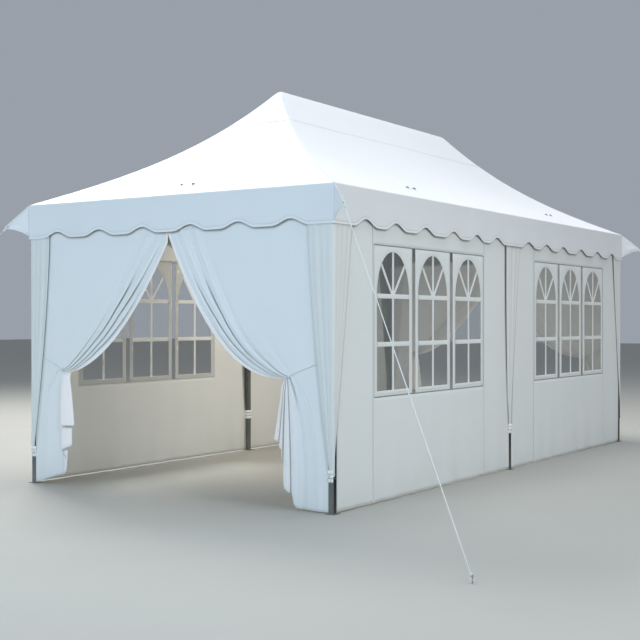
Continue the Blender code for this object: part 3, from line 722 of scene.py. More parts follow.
wall = {
    "groundGap": 0.008, "columnStep": 0.030, "rowStep": 0.032, "wave": 0.0035, "hemWave": 0.006,
    "groupHalf": 0.940, "sill": 0.785, "head": 1.912, "units": 3, "strip": 0.053,
    "stile": 0.044, "unitSill": 0.042, "unitHead": 0.042, "arch": 0.345, "mullion": 0.0275, "bar": 0.035,
    "lowerBar": 1.174, "upperBar": 1.534, "spokeAngle": 53.5, "thickness": 0.0024, "barThickness": 0.0045,
    "barStep": 0.05, "barLap": 0.006, "filmLap": 0.012, "legEdge": 0.0046,
    # Profiles of the seam lap, of the dark line beside it (painted shade) and of the bead
    "borderThickness": 0.0026, "seam": (0.013, 0.0024), "seamShadeLine": (0.0045, 0.0014), "bead": (0.0075, 0.0034),
}
wall["paneBottom"] = wall["sill"] + wall["unitSill"]
wall["paneTop"] = wall["head"] - wall["unitHead"]
wall["spring"] = wall["paneTop"] - wall["arch"]             # where the arch starts


def wallOffset(y, z):
    # How far a wall bellies in or out at a place: long upright waves, quieter at the top rail
    # and stronger at the ground.
    free = smoothStep((tent["wallTop"] - z) / 0.8)
    ground = np.exp(-z / 0.25)
    slow = waves(y + 0.12 * z, (1.31, 0.77, 0.52), (0.5, 2.2, 4.0))
    quick = waves(y - 0.05 * z, (0.31, 0.44), (1.3, 0.2))
    return wall["wave"] * free * slow + wall["hemWave"] * ground * quick + 0.0012 * free * quick


def onWall(sx, y, z, out=0.0):
    # A place on a side wall, moved outwards from the cloth's middle.
    y, z = np.broadcast_arrays(np.asarray(y, float), np.asarray(z, float))
    return np.stack([sx * (tent["wallX"] + wallOffset(y, z) + out), y, z], axis=-1)


def spacedBetween(stops, step):
    # Numbers from the first stop to the last, about a step apart, with each stop among them.
    parts = [np.linspace(a, b, max(1, math.ceil((b - a) / step)) + 1)[:-1]
             for a, b in zip(stops, stops[1:])]
    return np.concatenate(parts + [[stops[-1]]])


def windowUnits():
    # Left and right edge of each window unit, from the middle of its bay.
    width = (2 * wall["groupHalf"] - (wall["units"] - 1) * wall["strip"]) / wall["units"]
    starts = [-wall["groupHalf"] + k * (width + wall["strip"]) for k in range(wall["units"])]
    return [(left, left + width) for left in starts]


def unitRing(sx, middle, left, right):
    # A window unit's border: rings of points on rays from the pane's centre, from the pane's
    # outline (upright sides under a half ellipse) out to the unit's rectangle.
    paneLeft, paneRight = left + wall["stile"], right - wall["stile"]
    bottom, spring = wall["paneBottom"], wall["spring"]
    centreY, centreZ = (left + right) / 2, (bottom + spring) / 2
    half = (paneRight - paneLeft) / 2
    corners = [math.atan2(z - centreZ, y - centreY)
               for y in (left, right) for z in (wall["sill"], wall["head"])]
    corners += [math.atan2(z - centreZ, sign * half) for z in (bottom, spring) for sign in (-1, 1)]
    angle = np.unique(np.round(np.concatenate([np.linspace(-math.pi, math.pi, 121)[:-1], corners]), 6))
    c, s = np.cos(angle), np.sin(angle)

    def toBox(y0, y1, z0, z1):
        with np.errstate(divide="ignore"):
            reach = np.stack([np.where(c > 0, y1 - centreY, y0 - centreY) / c,
                              np.where(s > 0, z1 - centreZ, z0 - centreZ) / s])
        return np.where(np.isfinite(reach), np.abs(reach), np.inf).min(axis=0)

    outer = toBox(left, right, wall["sill"], wall["head"])
    inner = toBox(paneLeft, paneRight, bottom, spring + 5.0)
    # Where the ray meets the half ellipse: (r c / half)^2 + ((r s - up) / arch)^2 = 1
    up = spring - centreZ
    qa = (c / half) ** 2 + (s / wall["arch"]) ** 2
    qb = -2 * s * up / wall["arch"] ** 2
    qc = (up / wall["arch"]) ** 2 - 1
    ellipse = (-qb + np.sqrt(np.maximum(qb ** 2 - 4 * qa * qc, 0))) / (2 * qa)
    inner = np.where(inner * s > up, ellipse, inner)
    share = np.array([0.0, 0.04, 0.30, 0.65, 1.0])[:, None]
    reach = inner + (outer - inner) * share
    y = middle + centreY + reach * c
    z = centreZ + reach * s
    lifted = np.where(share == 0.0, -0.0012, 0.0)      # the edge at the pane is pressed down
    points = onWall(sx, y, z, 0.0004 + lifted)
    around = np.concatenate([angle, angle[:1] + 2 * math.pi]) * 0.6
    distance = np.concatenate([reach - inner, (reach - inner)[:, :1]], axis=1)
    return gridPatch(points, uv=paired(around, distance), facing=(sx, 0, 0), wrap=True,
                     hemDistance=reach - inner, hemRun=angle * 0.6)


def barPatch(sx, start, end, profile, out=-0.0002):
    # A flattened profile carried along a straight line on the wall.
    count = max(2, math.ceil(math.dist(start, end) / wall["barStep"])) + 1
    y, z = (np.linspace(start[k], end[k], count) for k in (0, 1))
    along = unit(np.array([0.0, end[0] - start[0], end[1] - start[1]]))
    return sweep(onWall(sx, y, z, out), np.cross((sx, 0.0, 0.0), along), (sx, 0.0, 0.0), profile)


def makeWallSide(side, end):
    # One bay of a side wall. Everything lies on wallOffset's waves: the panel's grid, a border
    # round each pane, flattened profiles as bars, and the film behind.
    sx, sy = sides[side], ends[end]
    middle = sy * tent["bay"] / 2
    # The panel, a grid with a rectangular hole for the window group
    legEdge = tent["legSize"] / 2 + wall["legEdge"]
    y0, y1 = sorted((sy * legEdge, sy * (tent["legY"] - legEdge)))
    hole = (middle - wall["groupHalf"], middle + wall["groupHalf"])
    columns = spacedBetween([y0, hole[0] - 0.012, *hole, hole[1] + 0.012, y1], wall["columnStep"])
    rows = spacedBetween([wall["groundGap"], wall["groundGap"] + 0.03, wall["sill"], wall["head"],
                          tent["wallTop"] - 0.03, tent["wallTop"]], wall["rowStep"])
    y, z = np.meshgrid(columns, rows)
    points = onWall(sx, y, z)
    centreY, centreZ = (columns[:-1] + columns[1:]) / 2, (rows[:-1] + rows[1:]) / 2
    inHole = (((centreY > hole[0]) & (centreY < hole[1]))[None, :]
              & ((centreZ > wall["sill"]) & (centreZ < wall["head"]))[:, None])
    hemDistance = np.minimum(z - wall["groundGap"], tent["wallTop"] - z)
    toEdge = np.minimum(cornerEdge(z, "side") - np.abs(y), np.abs(y) - middleEdge(z, sy))
    # Painted shade under the valance's hem and beside the leg covers' free edges
    close = shelter(np.minimum(tent["hemZ"] + hemLift(sx * y - 0.028, "side") - z, toEdge))
    panel = addPiece(f"wall_panel_{side}_{end}",
                     [gridPatch(points, uv=np.stack([y, z], axis=-1), facing=(sx, 0, 0), keep=~inHole,
                                hemDistance=hemDistance, hemRun=y, shelter=close)], wallCloth)
    thicken(panel, wall["thickness"], offset=0.0)
    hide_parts(f"wall_{side}_{end}")

    # The window units: borders, then the bars on the film
    rings, bars = [], []
    lap, hub, spring, arch = wall["barLap"], wall["upperBar"], wall["spring"], wall["arch"]
    angle = math.radians(wall["spokeAngle"])

    def addBar(start, stop, width, raised=0.0):
        bars.append(barPatch(sx, start, stop, lens(width, wall["barThickness"] + raised, 12, 0.45)))

    for left, right in windowUnits():
        rings.append(unitRing(sx, middle, left, right))
        centre = middle + (left + right) / 2
        half = (right - left) / 2 - wall["stile"]
        addBar((centre, wall["paneBottom"] - lap), (centre, wall["paneTop"] + lap), wall["mullion"])
        for level in (wall["lowerBar"], wall["upperBar"]):
            inside = half if level < spring else half * math.sqrt(1 - ((level - spring) / arch) ** 2)
            addBar((centre - inside - lap, level), (centre + inside + lap, level), wall["bar"], 0.0004)
        for sign in (-1, 1):
            # The spoke meets the ellipse where (r cos / half)^2 + ((r sin + hub - spring) / arch)^2 = 1
            c, s, up = math.cos(angle) / half, math.sin(angle) / arch, (hub - spring) / arch
            reach = (-s * up + math.sqrt((s * up) ** 2 - (c * c + s * s) * (up * up - 1))) / (c * c + s * s)
            tip = (centre + sign * (reach + lap) * math.cos(angle), hub + (reach + lap) * math.sin(angle))
            addBar((centre, hub), tip, wall["mullion"] * 0.9, -0.0004)
    borders = addPiece(f"window_borders_{side}_{end}", rings, wallCloth)
    thicken(borders, wall["borderThickness"], offset=0.0)
    addPiece(f"window_bars_{side}_{end}", bars, wallCloth)

    # The clear film behind the whole group, slightly slack in each pane
    columns = np.linspace(hole[0] - wall["filmLap"], hole[1] + wall["filmLap"], 100)
    rows = np.linspace(wall["sill"] - wall["filmLap"], wall["head"] + wall["filmLap"], 50)
    y, z = np.meshgrid(columns, rows)
    slack = 0.0012 * waves(y, (0.21, 0.13), (0.3, 1.7)) * waves(z, (0.33, 0.19), (2.2, 0.4))
    points = onWall(sx, y, z, -0.0016 + slack)
    film = addPiece(f"window_film_{side}_{end}",
                    [gridPatch(points, uv=np.stack([y, z], axis=-1), facing=(sx, 0, 0))],
                    windowFilm)
    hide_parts(f"window_{side}_{end}")

    # Seams: upright laps beside the group from hem to rail, a dark line beside each that stands in for its
    # shadow (painted shade), and the grey bead round the group
    seams, threads = [], []
    for y, away in zip(hole, (-1, 1)):
        z = np.linspace(wall["groundGap"] + 0.004, tent["wallTop"] - 0.004, 60)
        path = onWall(sx, np.full_like(z, y + 0.006 * away), z, wall["thickness"] / 2)
        seams.append(sweep(path, (0, 1, 0), (sx, 0, 0), lens(*wall["seam"], 10, 0.6)))
        threads.append(sweep(path + np.array([0.0, 0.0085 * away, 0.0]), (0, 1, 0), (sx, 0, 0),
                             lens(*wall["seamShadeLine"], 8)))
    addPiece(f"wall_seams_{side}_{end}", seams, wallCloth)
    addPiece(f"wall_seam_shade_{side}_{end}", threads, beadRubber)
    outline = [(hole[0], wall["sill"]), (hole[1], wall["sill"]),
               (hole[1], wall["head"]), (hole[0], wall["head"])]
    addPiece(f"window_bead_{side}_{end}",
             [barPatch(sx, start, stop, lens(*wall["bead"], 8), wall["thickness"] / 2)
              for start, stop in zip(outline, outline[1:] + outline[:1])], beadRubber)


def makeFilm():
    # Clear window film: a grey tint that lets the inside show, with smears in its gloss.
    material, tree, shader, place, _ = startMaterial("windowFilm")
    smear = noise(place, 3.0, 6.0, 0.6)
    soiled = useGroup(tree, dust, Vector=place, Amount=0.25, Height=1.3, Scale=5.0)
    # From inside it lies over the cloth round the panes, where it hardly shows
    outside = timesPlus(addNode(tree, "NewGeometry").outputs["Backfacing"], -0.62, 1.0)
    solid = mathNode("ADD", timesPlus(smear, 0.10, 0.42), soiled["Mask"])
    ray = addNode(tree, "LightPath").outputs
    clear = timesPlus(mathNode("MAXIMUM", ray["Is Shadow Ray"], ray["Is Diffuse Ray"]), -0.8, 1.0)
    fill(shader, {"Base Color": mixed(smear, (0.20, 0.215, 0.215), (0.27, 0.285, 0.28)),
                  "Roughness": timesPlus(smear, 0.12, 0.03), "Alpha": times(times(solid, outside), clear),
                  "Normal": bumped(noise(place, 6.0, 2.0), 0.25, 0.01)})
    return material


def makeBead():
    # The dark grey line where the window group is sewn in.
    material, tree, shader, place, _ = startMaterial("windowBead")
    grain = noise(place, 90.0, 3.0)
    fill(shader, {"Base Color": mixed(grain, (0.19, 0.205, 0.21), (0.30, 0.315, 0.32)),
                  "Roughness": timesPlus(grain, 0.2, 0.5), "Normal": bumped(grain, 0.3, 0.001)})
    return material


windowFilm, beadRubber = makeFilm(), makeBead()
for side in sides:
    for end in ends:
        makeWallSide(side, end)
print("walls and windows made")


# Curtains, tied back at both ends

curtainShared = {
    "apex": 1.980, "neckZ": 0.930, "legGap": 0.0046, "plane": 2.9882, "groundGap": 0.008,
    "thickness": 0.0018, "halfCrease": 0.0056, "neckLegZ": 0.60, "bulge": 0.055, "roll": 0.022,
    "belly": 0.010, "neckAcross": (0.957, 0.290), "headRows": 10, "swagRows": 62, "tailRows": 48,
    "bodyColumns": 26, "stripColumns": 7, "pinch": 0.006, "soft": 0.0035, "ray": 0.0008,
    "shallow": 0.005, "rowFall": 0.0006, "edgeLight": 0.85, "edgeLightWidth": 0.024,
    "hemShade": 0.95, "hemShadeWidth": 0.021, "foldShade": 0.85, "foldShadeWidth": 0.005,
}
# Distances of the four creases from the free edge, their depths and their half widths are given
# at five places evenly spaced from the apex to the neck. The tail gives the place and depth of
# each crease at the hem, how fast it gets there, how wide it opens, how far back it stands, and
# the hem's height by crease number. Where a place is nearer than the last, the cloth folds back.
curtainRight = dict(
    curtainShared, split=-0.012, swagLength=1.070, neckX=1.052, swagPower=2.30, lean=-0.95,
    creases=((0.030, 0.032, 0.045, 0.034, 0.014), (0.085, 0.088, 0.093, 0.076, 0.030),
             (0.190, 0.185, 0.158, 0.110, 0.048), (0.300, 0.290, 0.250, 0.178, 0.068)),
    depths=((0.0015, 0.004, 0.012, 0.022, 0.020), (0.002, 0.009, 0.042, 0.052, 0.024),
            (0.0025, 0.009, 0.050, 0.060, 0.026), (0.002, 0.004, 0.006, 0.016, 0.026)),
    halves=((0.008, 0.010, 0.010, 0.007, 0.0045), (0.010, 0.007, 0.0042, 0.0045, 0.0045),
            (0.015, 0.012, 0.0042, 0.0045, 0.0045), (0.030, 0.030, 0.026, 0.010, 0.0050)),
    hemX=(0.971, 1.012, 1.052, 1.126, 1.245), hurry=(1.0, 1.0, 1.8, 1.8, 3.2),
    hemDepths=(0.050, 0.052, 0.034, 0.012), opening=(0.6, 0.75, 0.8, 3.0), tailLean=-0.35,
    hemHeights=((0.0, 0.9, 1.1, 1.9, 2.1, 2.9, 3.1, 3.35, 3.7, 4.2, 6.0),
                (0.495, 0.490, 0.436, 0.432, 0.148, 0.120, 0.112, 0.045, 0.018, 0.010, 0.008)),
    setBack=(0.016, 0.010, 0.004, 0.0, 0.0, 0.0), lit=(0.6, 0.5, 0.4, 0.3, 0.0, 0.0), seed=0.0)
curtainLeft = dict(
    curtainShared, split=0.016, swagLength=1.120, neckX=1.066, swagPower=1.90, lean=0.95,
    creases=((0.030, 0.030, 0.032, 0.042, 0.014), (0.060, 0.075, 0.094, 0.075, 0.030),
             (0.140, 0.150, 0.149, 0.118, 0.050), (0.280, 0.270, 0.220, 0.165, 0.070)),
    depths=((0.0015, 0.005, 0.026, 0.038, 0.022), (0.002, 0.018, 0.058, 0.058, 0.026),
            (0.002, 0.014, 0.050, 0.042, 0.020), (0.002, 0.003, 0.008, 0.014, 0.022)),
    halves=((0.008, 0.010, 0.009, 0.0055, 0.0045), (0.010, 0.009, 0.0042, 0.0042, 0.0045),
            (0.015, 0.012, 0.0050, 0.0045, 0.0045), (0.030, 0.030, 0.026, 0.012, 0.0050)),
    hemX=(1.012, 1.167, 1.055, 1.174, 1.118), hurry=(1.2, 8.0, 2.5, 6.0, 3.0),
    hemDepths=(0.003, 0.003, 0.003, 0.003), opening=(0.3, 0.3, 0.3, 0.3), tailLean=0.0,
    hemHeights=((0.0, 1.0, 2.0, 3.0, 4.0, 4.25, 4.9, 6.0),
                (0.497, 0.492, 0.335, 0.290, 0.215, 0.110, 0.085, 0.008)),
    setBack=(0.006, 0.010, 0.020, 0.026, 0.034, 0.040), lit=(0.9, 0.9, 0.8, 0.8, 0.5, 0.0),
    bodyX=1.172, seed=1.7)


def swagLine(look, count):
    # The free edge from the apex to the neck: z = neck + rise (1 - x / length)^power, at points
    # evenly spaced along it.
    x = np.linspace(look["split"], look["neckX"], 600)
    z = look["neckZ"] + (look["apex"] - look["neckZ"]) * (1 - x / look["swagLength"]) ** look["swagPower"]
    length = lineLength(np.stack([x, z], axis=-1))
    even = np.linspace(0, length[-1], count)
    return np.interp(even, length, x), np.interp(even, length, z)


def curtainColumns(look):
    # Columns of the gathered band, from the free edge towards the leg: the crease before each
    # one, its share of the way to the next crease, and its distance from the crease in half widths.
    inCrease = np.array([0.25, 0.5, 0.75, 1.0, 1.3, 1.7, 2.2])
    inCrease = np.concatenate([-inCrease[::-1], [0.0], inCrease])
    shares = np.linspace(0, 1, look["stripColumns"])
    columns = []
    for strip in range(5):
        if strip:
            columns += [(strip, 0.0, offset) for offset in inCrease]
        columns += [(strip, share, 3.0) for share in shares]
    return np.array(columns).T


def bandPlaces(columns, places, half):
    # Place of each column across the band, for rows of crease places and half widths. A strip
    # runs from three half widths past one crease to three before the next.
    strip, share, offset = columns
    k = strip.astype(int)
    inStrip = offset > 2.9
    fromCrease = places[:, k] + np.where(inStrip, 3.0 * (k > 0), offset) * half[:, k]
    toCrease = places[:, k + 1] - 3.0 * half[:, k + 1] * (k < 4)
    return np.where(inStrip, (1 - share) * fromCrease + share * toCrease, fromCrease)


def curtainSurface(look):
    # A curtain in its own plane: x from the middle of the doorway, z up, and depth into the tent.
    # Each crease is a narrow slot, depth = D exp(-(distance / half width)^2), which leans to one
    # side as it goes in, and the strips between the creases bulge outwards.
    leg = tent["legX"] - tent["legSize"] / 2 - look["legGap"]
    head, swag, tail = look["headRows"], look["swagRows"], look["tailRows"]
    swagX, swagZ = swagLine(look, swag + 1)
    headZ = np.linspace(tent["wallTop"], look["apex"], head + 1)[:-1]
    freeX = np.concatenate([np.full(head, look["split"]), swagX])
    freeZ = np.concatenate([headZ, swagZ])
    tangent = unit(np.stack([np.gradient(freeX), np.gradient(freeZ)], axis=-1))
    across = np.stack([-tangent[:, 1], tangent[:, 0]], axis=-1)
    for _ in range(6):                    # soften the turn at the apex
        across[1:-1] = (across[:-2] + 2 * across[1:-1] + across[2:]) / 4
    part = np.concatenate([np.zeros(head), np.linspace(0, 1, swag + 1)])
    down = np.linspace(0, 1, tail + 1)[1:]
    passed = np.concatenate([part, 1 + down])          # 0 to 1 over the swag, 1 to 2 down the tail
    # Towards the neck the rows swing round to the way the gathers lie in the tie
    swing = smoothStep((part - 0.72) / 0.28)[:, None]
    across = unit(across * (1 - swing) + np.array([look["neckAcross"]]) * swing)

    stops = np.linspace(0, 1, 5)
    columns = curtainColumns(look)
    strip, share, offset = columns
    inStrip = offset > 2.9
    inStripCount = strip + 0.1 * (strip > 0) + share * (0.9 + 0.1 * (strip == 0) - 0.1)
    count = np.where(inStrip, inStripCount, strip + offset / 30)    # crease number, with parts

    def overSwag(rows):
        return np.stack([np.interp(part, stops, row) for row in rows], axis=1)

    creases = overSwag(look["creases"])
    gaps = np.diff(np.concatenate([np.zeros((len(part), 1)), creases], axis=1), axis=1)
    room = np.concatenate([gaps[:, :1] * 2, gaps[:, 1:], gaps[:, 3:] * 0 + 1.0], axis=1)
    asked = np.minimum(overSwag(look["halves"]), np.minimum(room[:, :4], room[:, 1:]) / 7.0)
    half = np.concatenate([asked[:, :1], asked, asked[:, 3:]], axis=1)
    edge = creases[:, 3] + 3 * half[:, 4] + 0.025
    places = np.concatenate([np.zeros((len(part), 1)), creases, edge[:, None]], axis=1)
    band = bandPlaces(columns, places, half)

    # Tail: the same columns, from their places in the neck to their places at the hem
    neckPlaces = look["neckX"] + across[-1, 0] * places[-1]
    bodyX = look.get("bodyX", look["hemX"][4] + 3 * look["halfCrease"] * look["opening"][3] + 0.025)
    hemPlaces = np.array(look["hemX"] + (bodyX,))
    hurry = np.array(look["hurry"] + (look["hurry"][4],))
    spread = 1 - (1 - down[:, None]) ** hurry
    tailPlaces = neckPlaces + (hemPlaces - neckPlaces) * spread
    wide = np.array((1.0,) + look["opening"] + (1.0,))
    tailHalf = half[-1] + (look["halfCrease"] * wide - half[-1]) * (1 - (1 - down[:, None]) ** 2.5)
    tailBand = bandPlaces(columns, tailPlaces, tailHalf)

    # Depth of every column
    crease = np.clip(strip.astype(int) - 1, 0, 3)
    grown = np.concatenate([np.linspace(0.35, 1, head), np.ones(swag + 1)])[:, None]
    swagDepth = overSwag(look["depths"]) * grown
    toHem = smoothStep(down * 2.5)[:, None]
    tailDepth = swagDepth[-1] + (np.array(look["hemDepths"]) - swagDepth[-1]) * toHem
    depths = np.concatenate([swagDepth, tailDepth])
    slot = np.where(inStrip, 0.0, np.exp(-offset ** 2))
    inSlot = depths[:, crease] * slot
    allPlaces = np.concatenate([places, tailPlaces])
    widths = np.diff(allPlaces, axis=1)[:, strip.astype(int)]
    waist = np.exp(-((passed - 1.0) / 0.09) ** 2)[:, None]
    tailShare = (tailBand - tailPlaces[:, :1]) / (tailPlaces[:, 5:] - tailPlaces[:, :1])
    u = np.clip(np.concatenate([band / edge[:, None], tailShare]), 0, 1)
    strength = np.concatenate([np.linspace(0, 1, head), np.ones(len(passed) - head)])[:, None]
    swollen = np.where(inStrip & (strip < 4), np.sin(math.pi * share) ** 0.8, 0.0)
    depth = inSlot - strength * look["bulge"] * widths * swollen
    back = np.interp(count, np.arange(6), look["setBack"])[None, :]
    depth = depth + back * smoothStep((passed - 1.0) / 0.35)[:, None] + look["roll"] * waist * (1 - u) ** 2
    depth = depth - look["pinch"] * waist * np.sin(math.pi * u)

    # Swag band and tail band in the plane
    lean = look["lean"] + (look["tailLean"] - look["lean"]) * smoothStep((passed - 0.88) / 0.12)[:, None]
    shiftBy = lean * inSlot
    rowsSwag = len(part)
    x = freeX[:, None] + across[:, :1] * (band + shiftBy[:rowsSwag])
    z = freeZ[:, None] + across[:, 1:] * (band + shiftBy[:rowsSwag])
    hemZ = np.interp(count, *look["hemHeights"])
    tailX = tailBand + shiftBy[rowsSwag:]
    tailZ = z[-1] + (hemZ - z[-1]) * down[:, None]
    bandX, bandZ = np.concatenate([x, tailX]), np.concatenate([z, tailZ])

    # Body: from the band's last column to the leg
    b = np.linspace(0, 1, look["bodyColumns"] + 1)[1:]
    legSwag = look["apex"] + (look["neckLegZ"] - look["apex"]) * np.linspace(0, 1, swag + 1)
    legTail = look["neckLegZ"] + (look["groundGap"] - look["neckLegZ"]) * down
    legZ = np.concatenate([headZ, legSwag, legTail])[:, None]
    ease = b * 0.65 + smoothStep(b) * 0.35
    bodyX = bandX[:, -1:] + (leg - bandX[:, -1:]) * b
    bodyZ = bandZ[:, -1:] + (legZ - bandZ[:, -1:]) * ease
    v = np.linspace(0, 1, len(passed))[:, None]
    belly = look["belly"] * np.sin(math.pi * b) * np.sin(math.pi * v) ** 0.8
    soft = waves((1 - b) * 1.2 + v * 0.4, (0.9, 0.37), (0.2 + look["seed"], 1.5))
    soft = look["soft"] * soft * np.sin(math.pi * v) * (1 - b)
    rays = look["ray"] * waist * np.exp(-b / 0.22) * np.sin(b * 38)
    low = smoothStep((passed - 1.0) / 0.4)[:, None]
    shallow = (look["shallow"] * low * np.sin(math.pi * b)
               * np.cos(2 * math.pi * (b * 1.1 + 0.15 + look["seed"])))
    lastDepth = depth[:, -1:]
    bodyDepth = (lastDepth * (1 - smoothStep(b * 3)) - belly * 0.4 + (soft - soft[:, :1]) + rays
                 + shallow * smoothStep(b * 4))
    x = np.concatenate([bandX, bodyX], axis=1)
    z = np.concatenate([bandZ, bodyZ], axis=1)
    fall = look["rowFall"] * np.arange(len(z))[:, None]        # no row rises above the one before it
    z = np.minimum.accumulate(z + fall, axis=0) - fall
    # Painted light, as an emission glow: along the free edge, and in the tail where it hangs clear of the
    # rest
    fromEdge = np.abs(np.concatenate([band, tailBand - tailPlaces[:, :1]]))
    alongEdge = look["edgeLight"] * np.exp(-(fromEdge / look["edgeLightWidth"]) ** 2) * strength
    inTail = (np.interp(count, np.arange(6), look["lit"])[None, :]
              * smoothStep((passed - 1.03) / 0.06)[:, None])
    lit = np.concatenate([np.maximum(alongEdge, inTail) * (1 - slot), 0 * bodyX], axis=1)
    # Shade in the tail's grooves, beside its first fold, and under each hem on the folds behind it
    fade = np.where(crease == 3, 1 - smoothStep((passed - 1.12) / 0.3)[:, None], 1.0)
    groove = np.array([1.0, 1.0, 0.8, 0.7])[crease] * fade * slot
    shade = np.concatenate([groove * smoothStep((passed - 0.97) / 0.05)[:, None], 0 * bodyX], axis=1)
    order = np.concatenate([count, np.full(bodyX.shape[1], 6.0)])[None, :]
    for k in ((0, 2, 3) if "bodyX" in look else ()):
        low, high = sorted((k, k + 1), key=lambda n: look["hemX"][n])
        line = np.interp(x, [look["hemX"][low], look["hemX"][high]],
                         [np.interp(n, *look["hemHeights"]) for n in (low, high)])
        over = (x > look["hemX"][low] - 0.004) & (x < look["hemX"][high] + 0.004) & (order > k + 1.2)
        below = look["hemShade"] * np.exp(-((z - line + 0.009) / look["hemShadeWidth"]) ** 2)
        shade = np.maximum(shade, np.where(over, below, 0))
    if "bodyX" in look:
        fold = np.concatenate([np.full(rowsSwag, 9.0), tailPlaces[:, 1]])[:, None]
        beside = look["foldShade"] * np.exp(-((x - fold - 0.003) / look["foldShadeWidth"]) ** 2)
        shade = np.maximum(shade, np.where(order > 4, beside, 0))
    return x, z, np.concatenate([depth, bodyDepth], axis=1), lit * (1 - np.clip(shade, 0, 1)), shade


def makeCurtain(end, side, look):
    # The curtain's surface set up at its end, each point as far inside the end's plane as its depth.
    sx, sy = sides[side], ends[end]
    x, z, depth, lit, shade = curtainSurface(look)
    points = np.stack([sx * x, sy * (look["plane"] - depth), z], axis=-1)
    u = lineLength(points[look["headRows"] + look["swagRows"] // 2])
    v = np.concatenate([np.zeros((1, points.shape[1])),
                        np.cumsum(np.linalg.norm(np.diff(points, axis=0), axis=2), axis=0)])
    toFree = np.broadcast_to(u, v.shape)
    toHem = v[-1] - v
    # Painted shade under the valance's hem and beside the corner cover's edge, with the tail's painted shade
    # and glow
    underHem = shelter(tent["hemZ"] + hemLift(-sx * sy * x + 0.016, "end") - z)   # the shade falls aside
    byCover = shelter(cornerEdge(z, "end") - x, 0.62)
    piece = addPiece(f"curtain_cloth_{end}_{side}",
                     [gridPatch(points, uv=np.stack([toFree, v], axis=-1), facing=(0, sy, 0),
                                hemDistance=np.minimum(toFree, toHem),
                                hemRun=np.where(toFree < toHem, v, toFree),
                                shelter=np.maximum(np.maximum(underHem, byCover), shade), litThrough=lit)],
                     curtainCloth)
    thicken(piece, look["thickness"], offset=0.0)
    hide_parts(f"curtain_{end}_{side}")


for end in ends:
    makeCurtain(end, "right", curtainRight)
    makeCurtain(end, "left", curtainLeft)
print("curtains made")


# Leg covers

def coverRows(tieZ):
    # Rows of a cover, from its tuck behind the valance down to its tie: share of the way, height.
    rows = np.linspace(-cover["tuck"] / (tent["hemZ"] - tieZ), 1.0, cover["rows"])[:, None]
    return np.clip(rows, 0, 1), tent["hemZ"] + (tieZ - tent["hemZ"]) * rows


def coverFolds(q, down, count, shift):
    # Outward folds: cosines across the face that gather towards the tie.
    swell = cover["fold"] * (0.5 + 0.5 * np.sin(math.pi * down ** 0.7)) + cover["foldLow"] * down ** 6
    return swell * (0.65 * np.cos(2 * math.pi * count * q + shift)
                    + 0.35 * np.cos(2 * math.pi * (count * 0.53) * q + 2 * shift))


def addCover(leg, points, spine, facing, close):
    # One cover's cloth, hemmed along both free edges; "spine" is the column that lies on the leg.
    u = lineLength(points[0])
    v = np.broadcast_to(lineLength(points[:, spine])[:, None], points.shape[:2])
    edgeDistance = np.minimum(u - u[0], u[-1] - u)[None, :] + 0 * v
    patch = gridPatch(points, uv=paired(u, v), facing=facing, shelter=close, hemDistance=edgeDistance,
                      hemRun=v)
    piece = addPiece(f"cover_cloth_{leg}", [patch], coverCloth)
    thicken(piece, cover["thickness"])
    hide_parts(f"leg_cover_{leg}")


def makeCornerCover(end, side):
    # Plan of each row: along the end face, round a corner that tightens downwards, and along the
    # side face. The folds push the cloth out square to that line.
    sx, sy = sides[side], ends[end]
    down, z = coverRows(cover["cornerTie"])
    faceX = coverFace(tent["legFaceX"], tent["eaveX"], down)
    faceY = coverFace(tent["legFaceY"], tent["eaveY"], down)
    radius = cover["round"] + (cover["roundLow"] - cover["round"]) * down
    endWidth = coverWidth("end", down) - radius
    sideWidth = np.maximum(coverWidth("side", down) - radius, 0.001)
    face = np.linspace(0, 1, cover["faceColumns"] + 1)
    arc = np.linspace(0, math.pi / 2, 9)[1:-1]
    flat, turn = np.zeros_like(down) * face, np.zeros_like(down)
    x = np.concatenate([faceX - radius - endWidth * (1 - face), faceX - radius + radius * np.sin(arc),
                        faceX + flat], axis=1)
    y = np.concatenate([faceY + flat, faceY - radius + radius * np.cos(arc),
                        faceY - radius - sideWidth * face], axis=1)
    normalX = np.concatenate([flat, turn + np.sin(arc), flat + 1], axis=1)
    normalY = np.concatenate([flat + 1, turn + np.cos(arc), flat], axis=1)
    q = np.concatenate([-1 + face, 0 * arc, face])[None, :]
    push = coverFolds(q, down, 3.2, 0.9 + sx * 0.3 + sy * 0.5) * smoothStep(np.abs(q) * 6)
    edge = np.exp(-((1 - np.abs(q)) / 0.05) ** 2) * (np.abs(q) > 0.5)
    push = push - edge * cover["edgeCurl"] * (1 - down)    # the free edges curl in
    points = np.stack([sx * (x + normalX * push), sy * (y + normalY * push), z + 0 * x], axis=-1)
    # The cover's top is darkened under the valance's hem: painted shade
    addCover(f"{end}_{side}", points, len(face) + 3, (sx, sy, 0), shelter(tent["hemZ"] - z + 0 * x, 0.64))
    addCuff(f"cover_cuff_{end}_{side}", sx * tent["legX"], sy * tent["legY"],
            cover["cornerTie"] + 0.002, sx, sy)


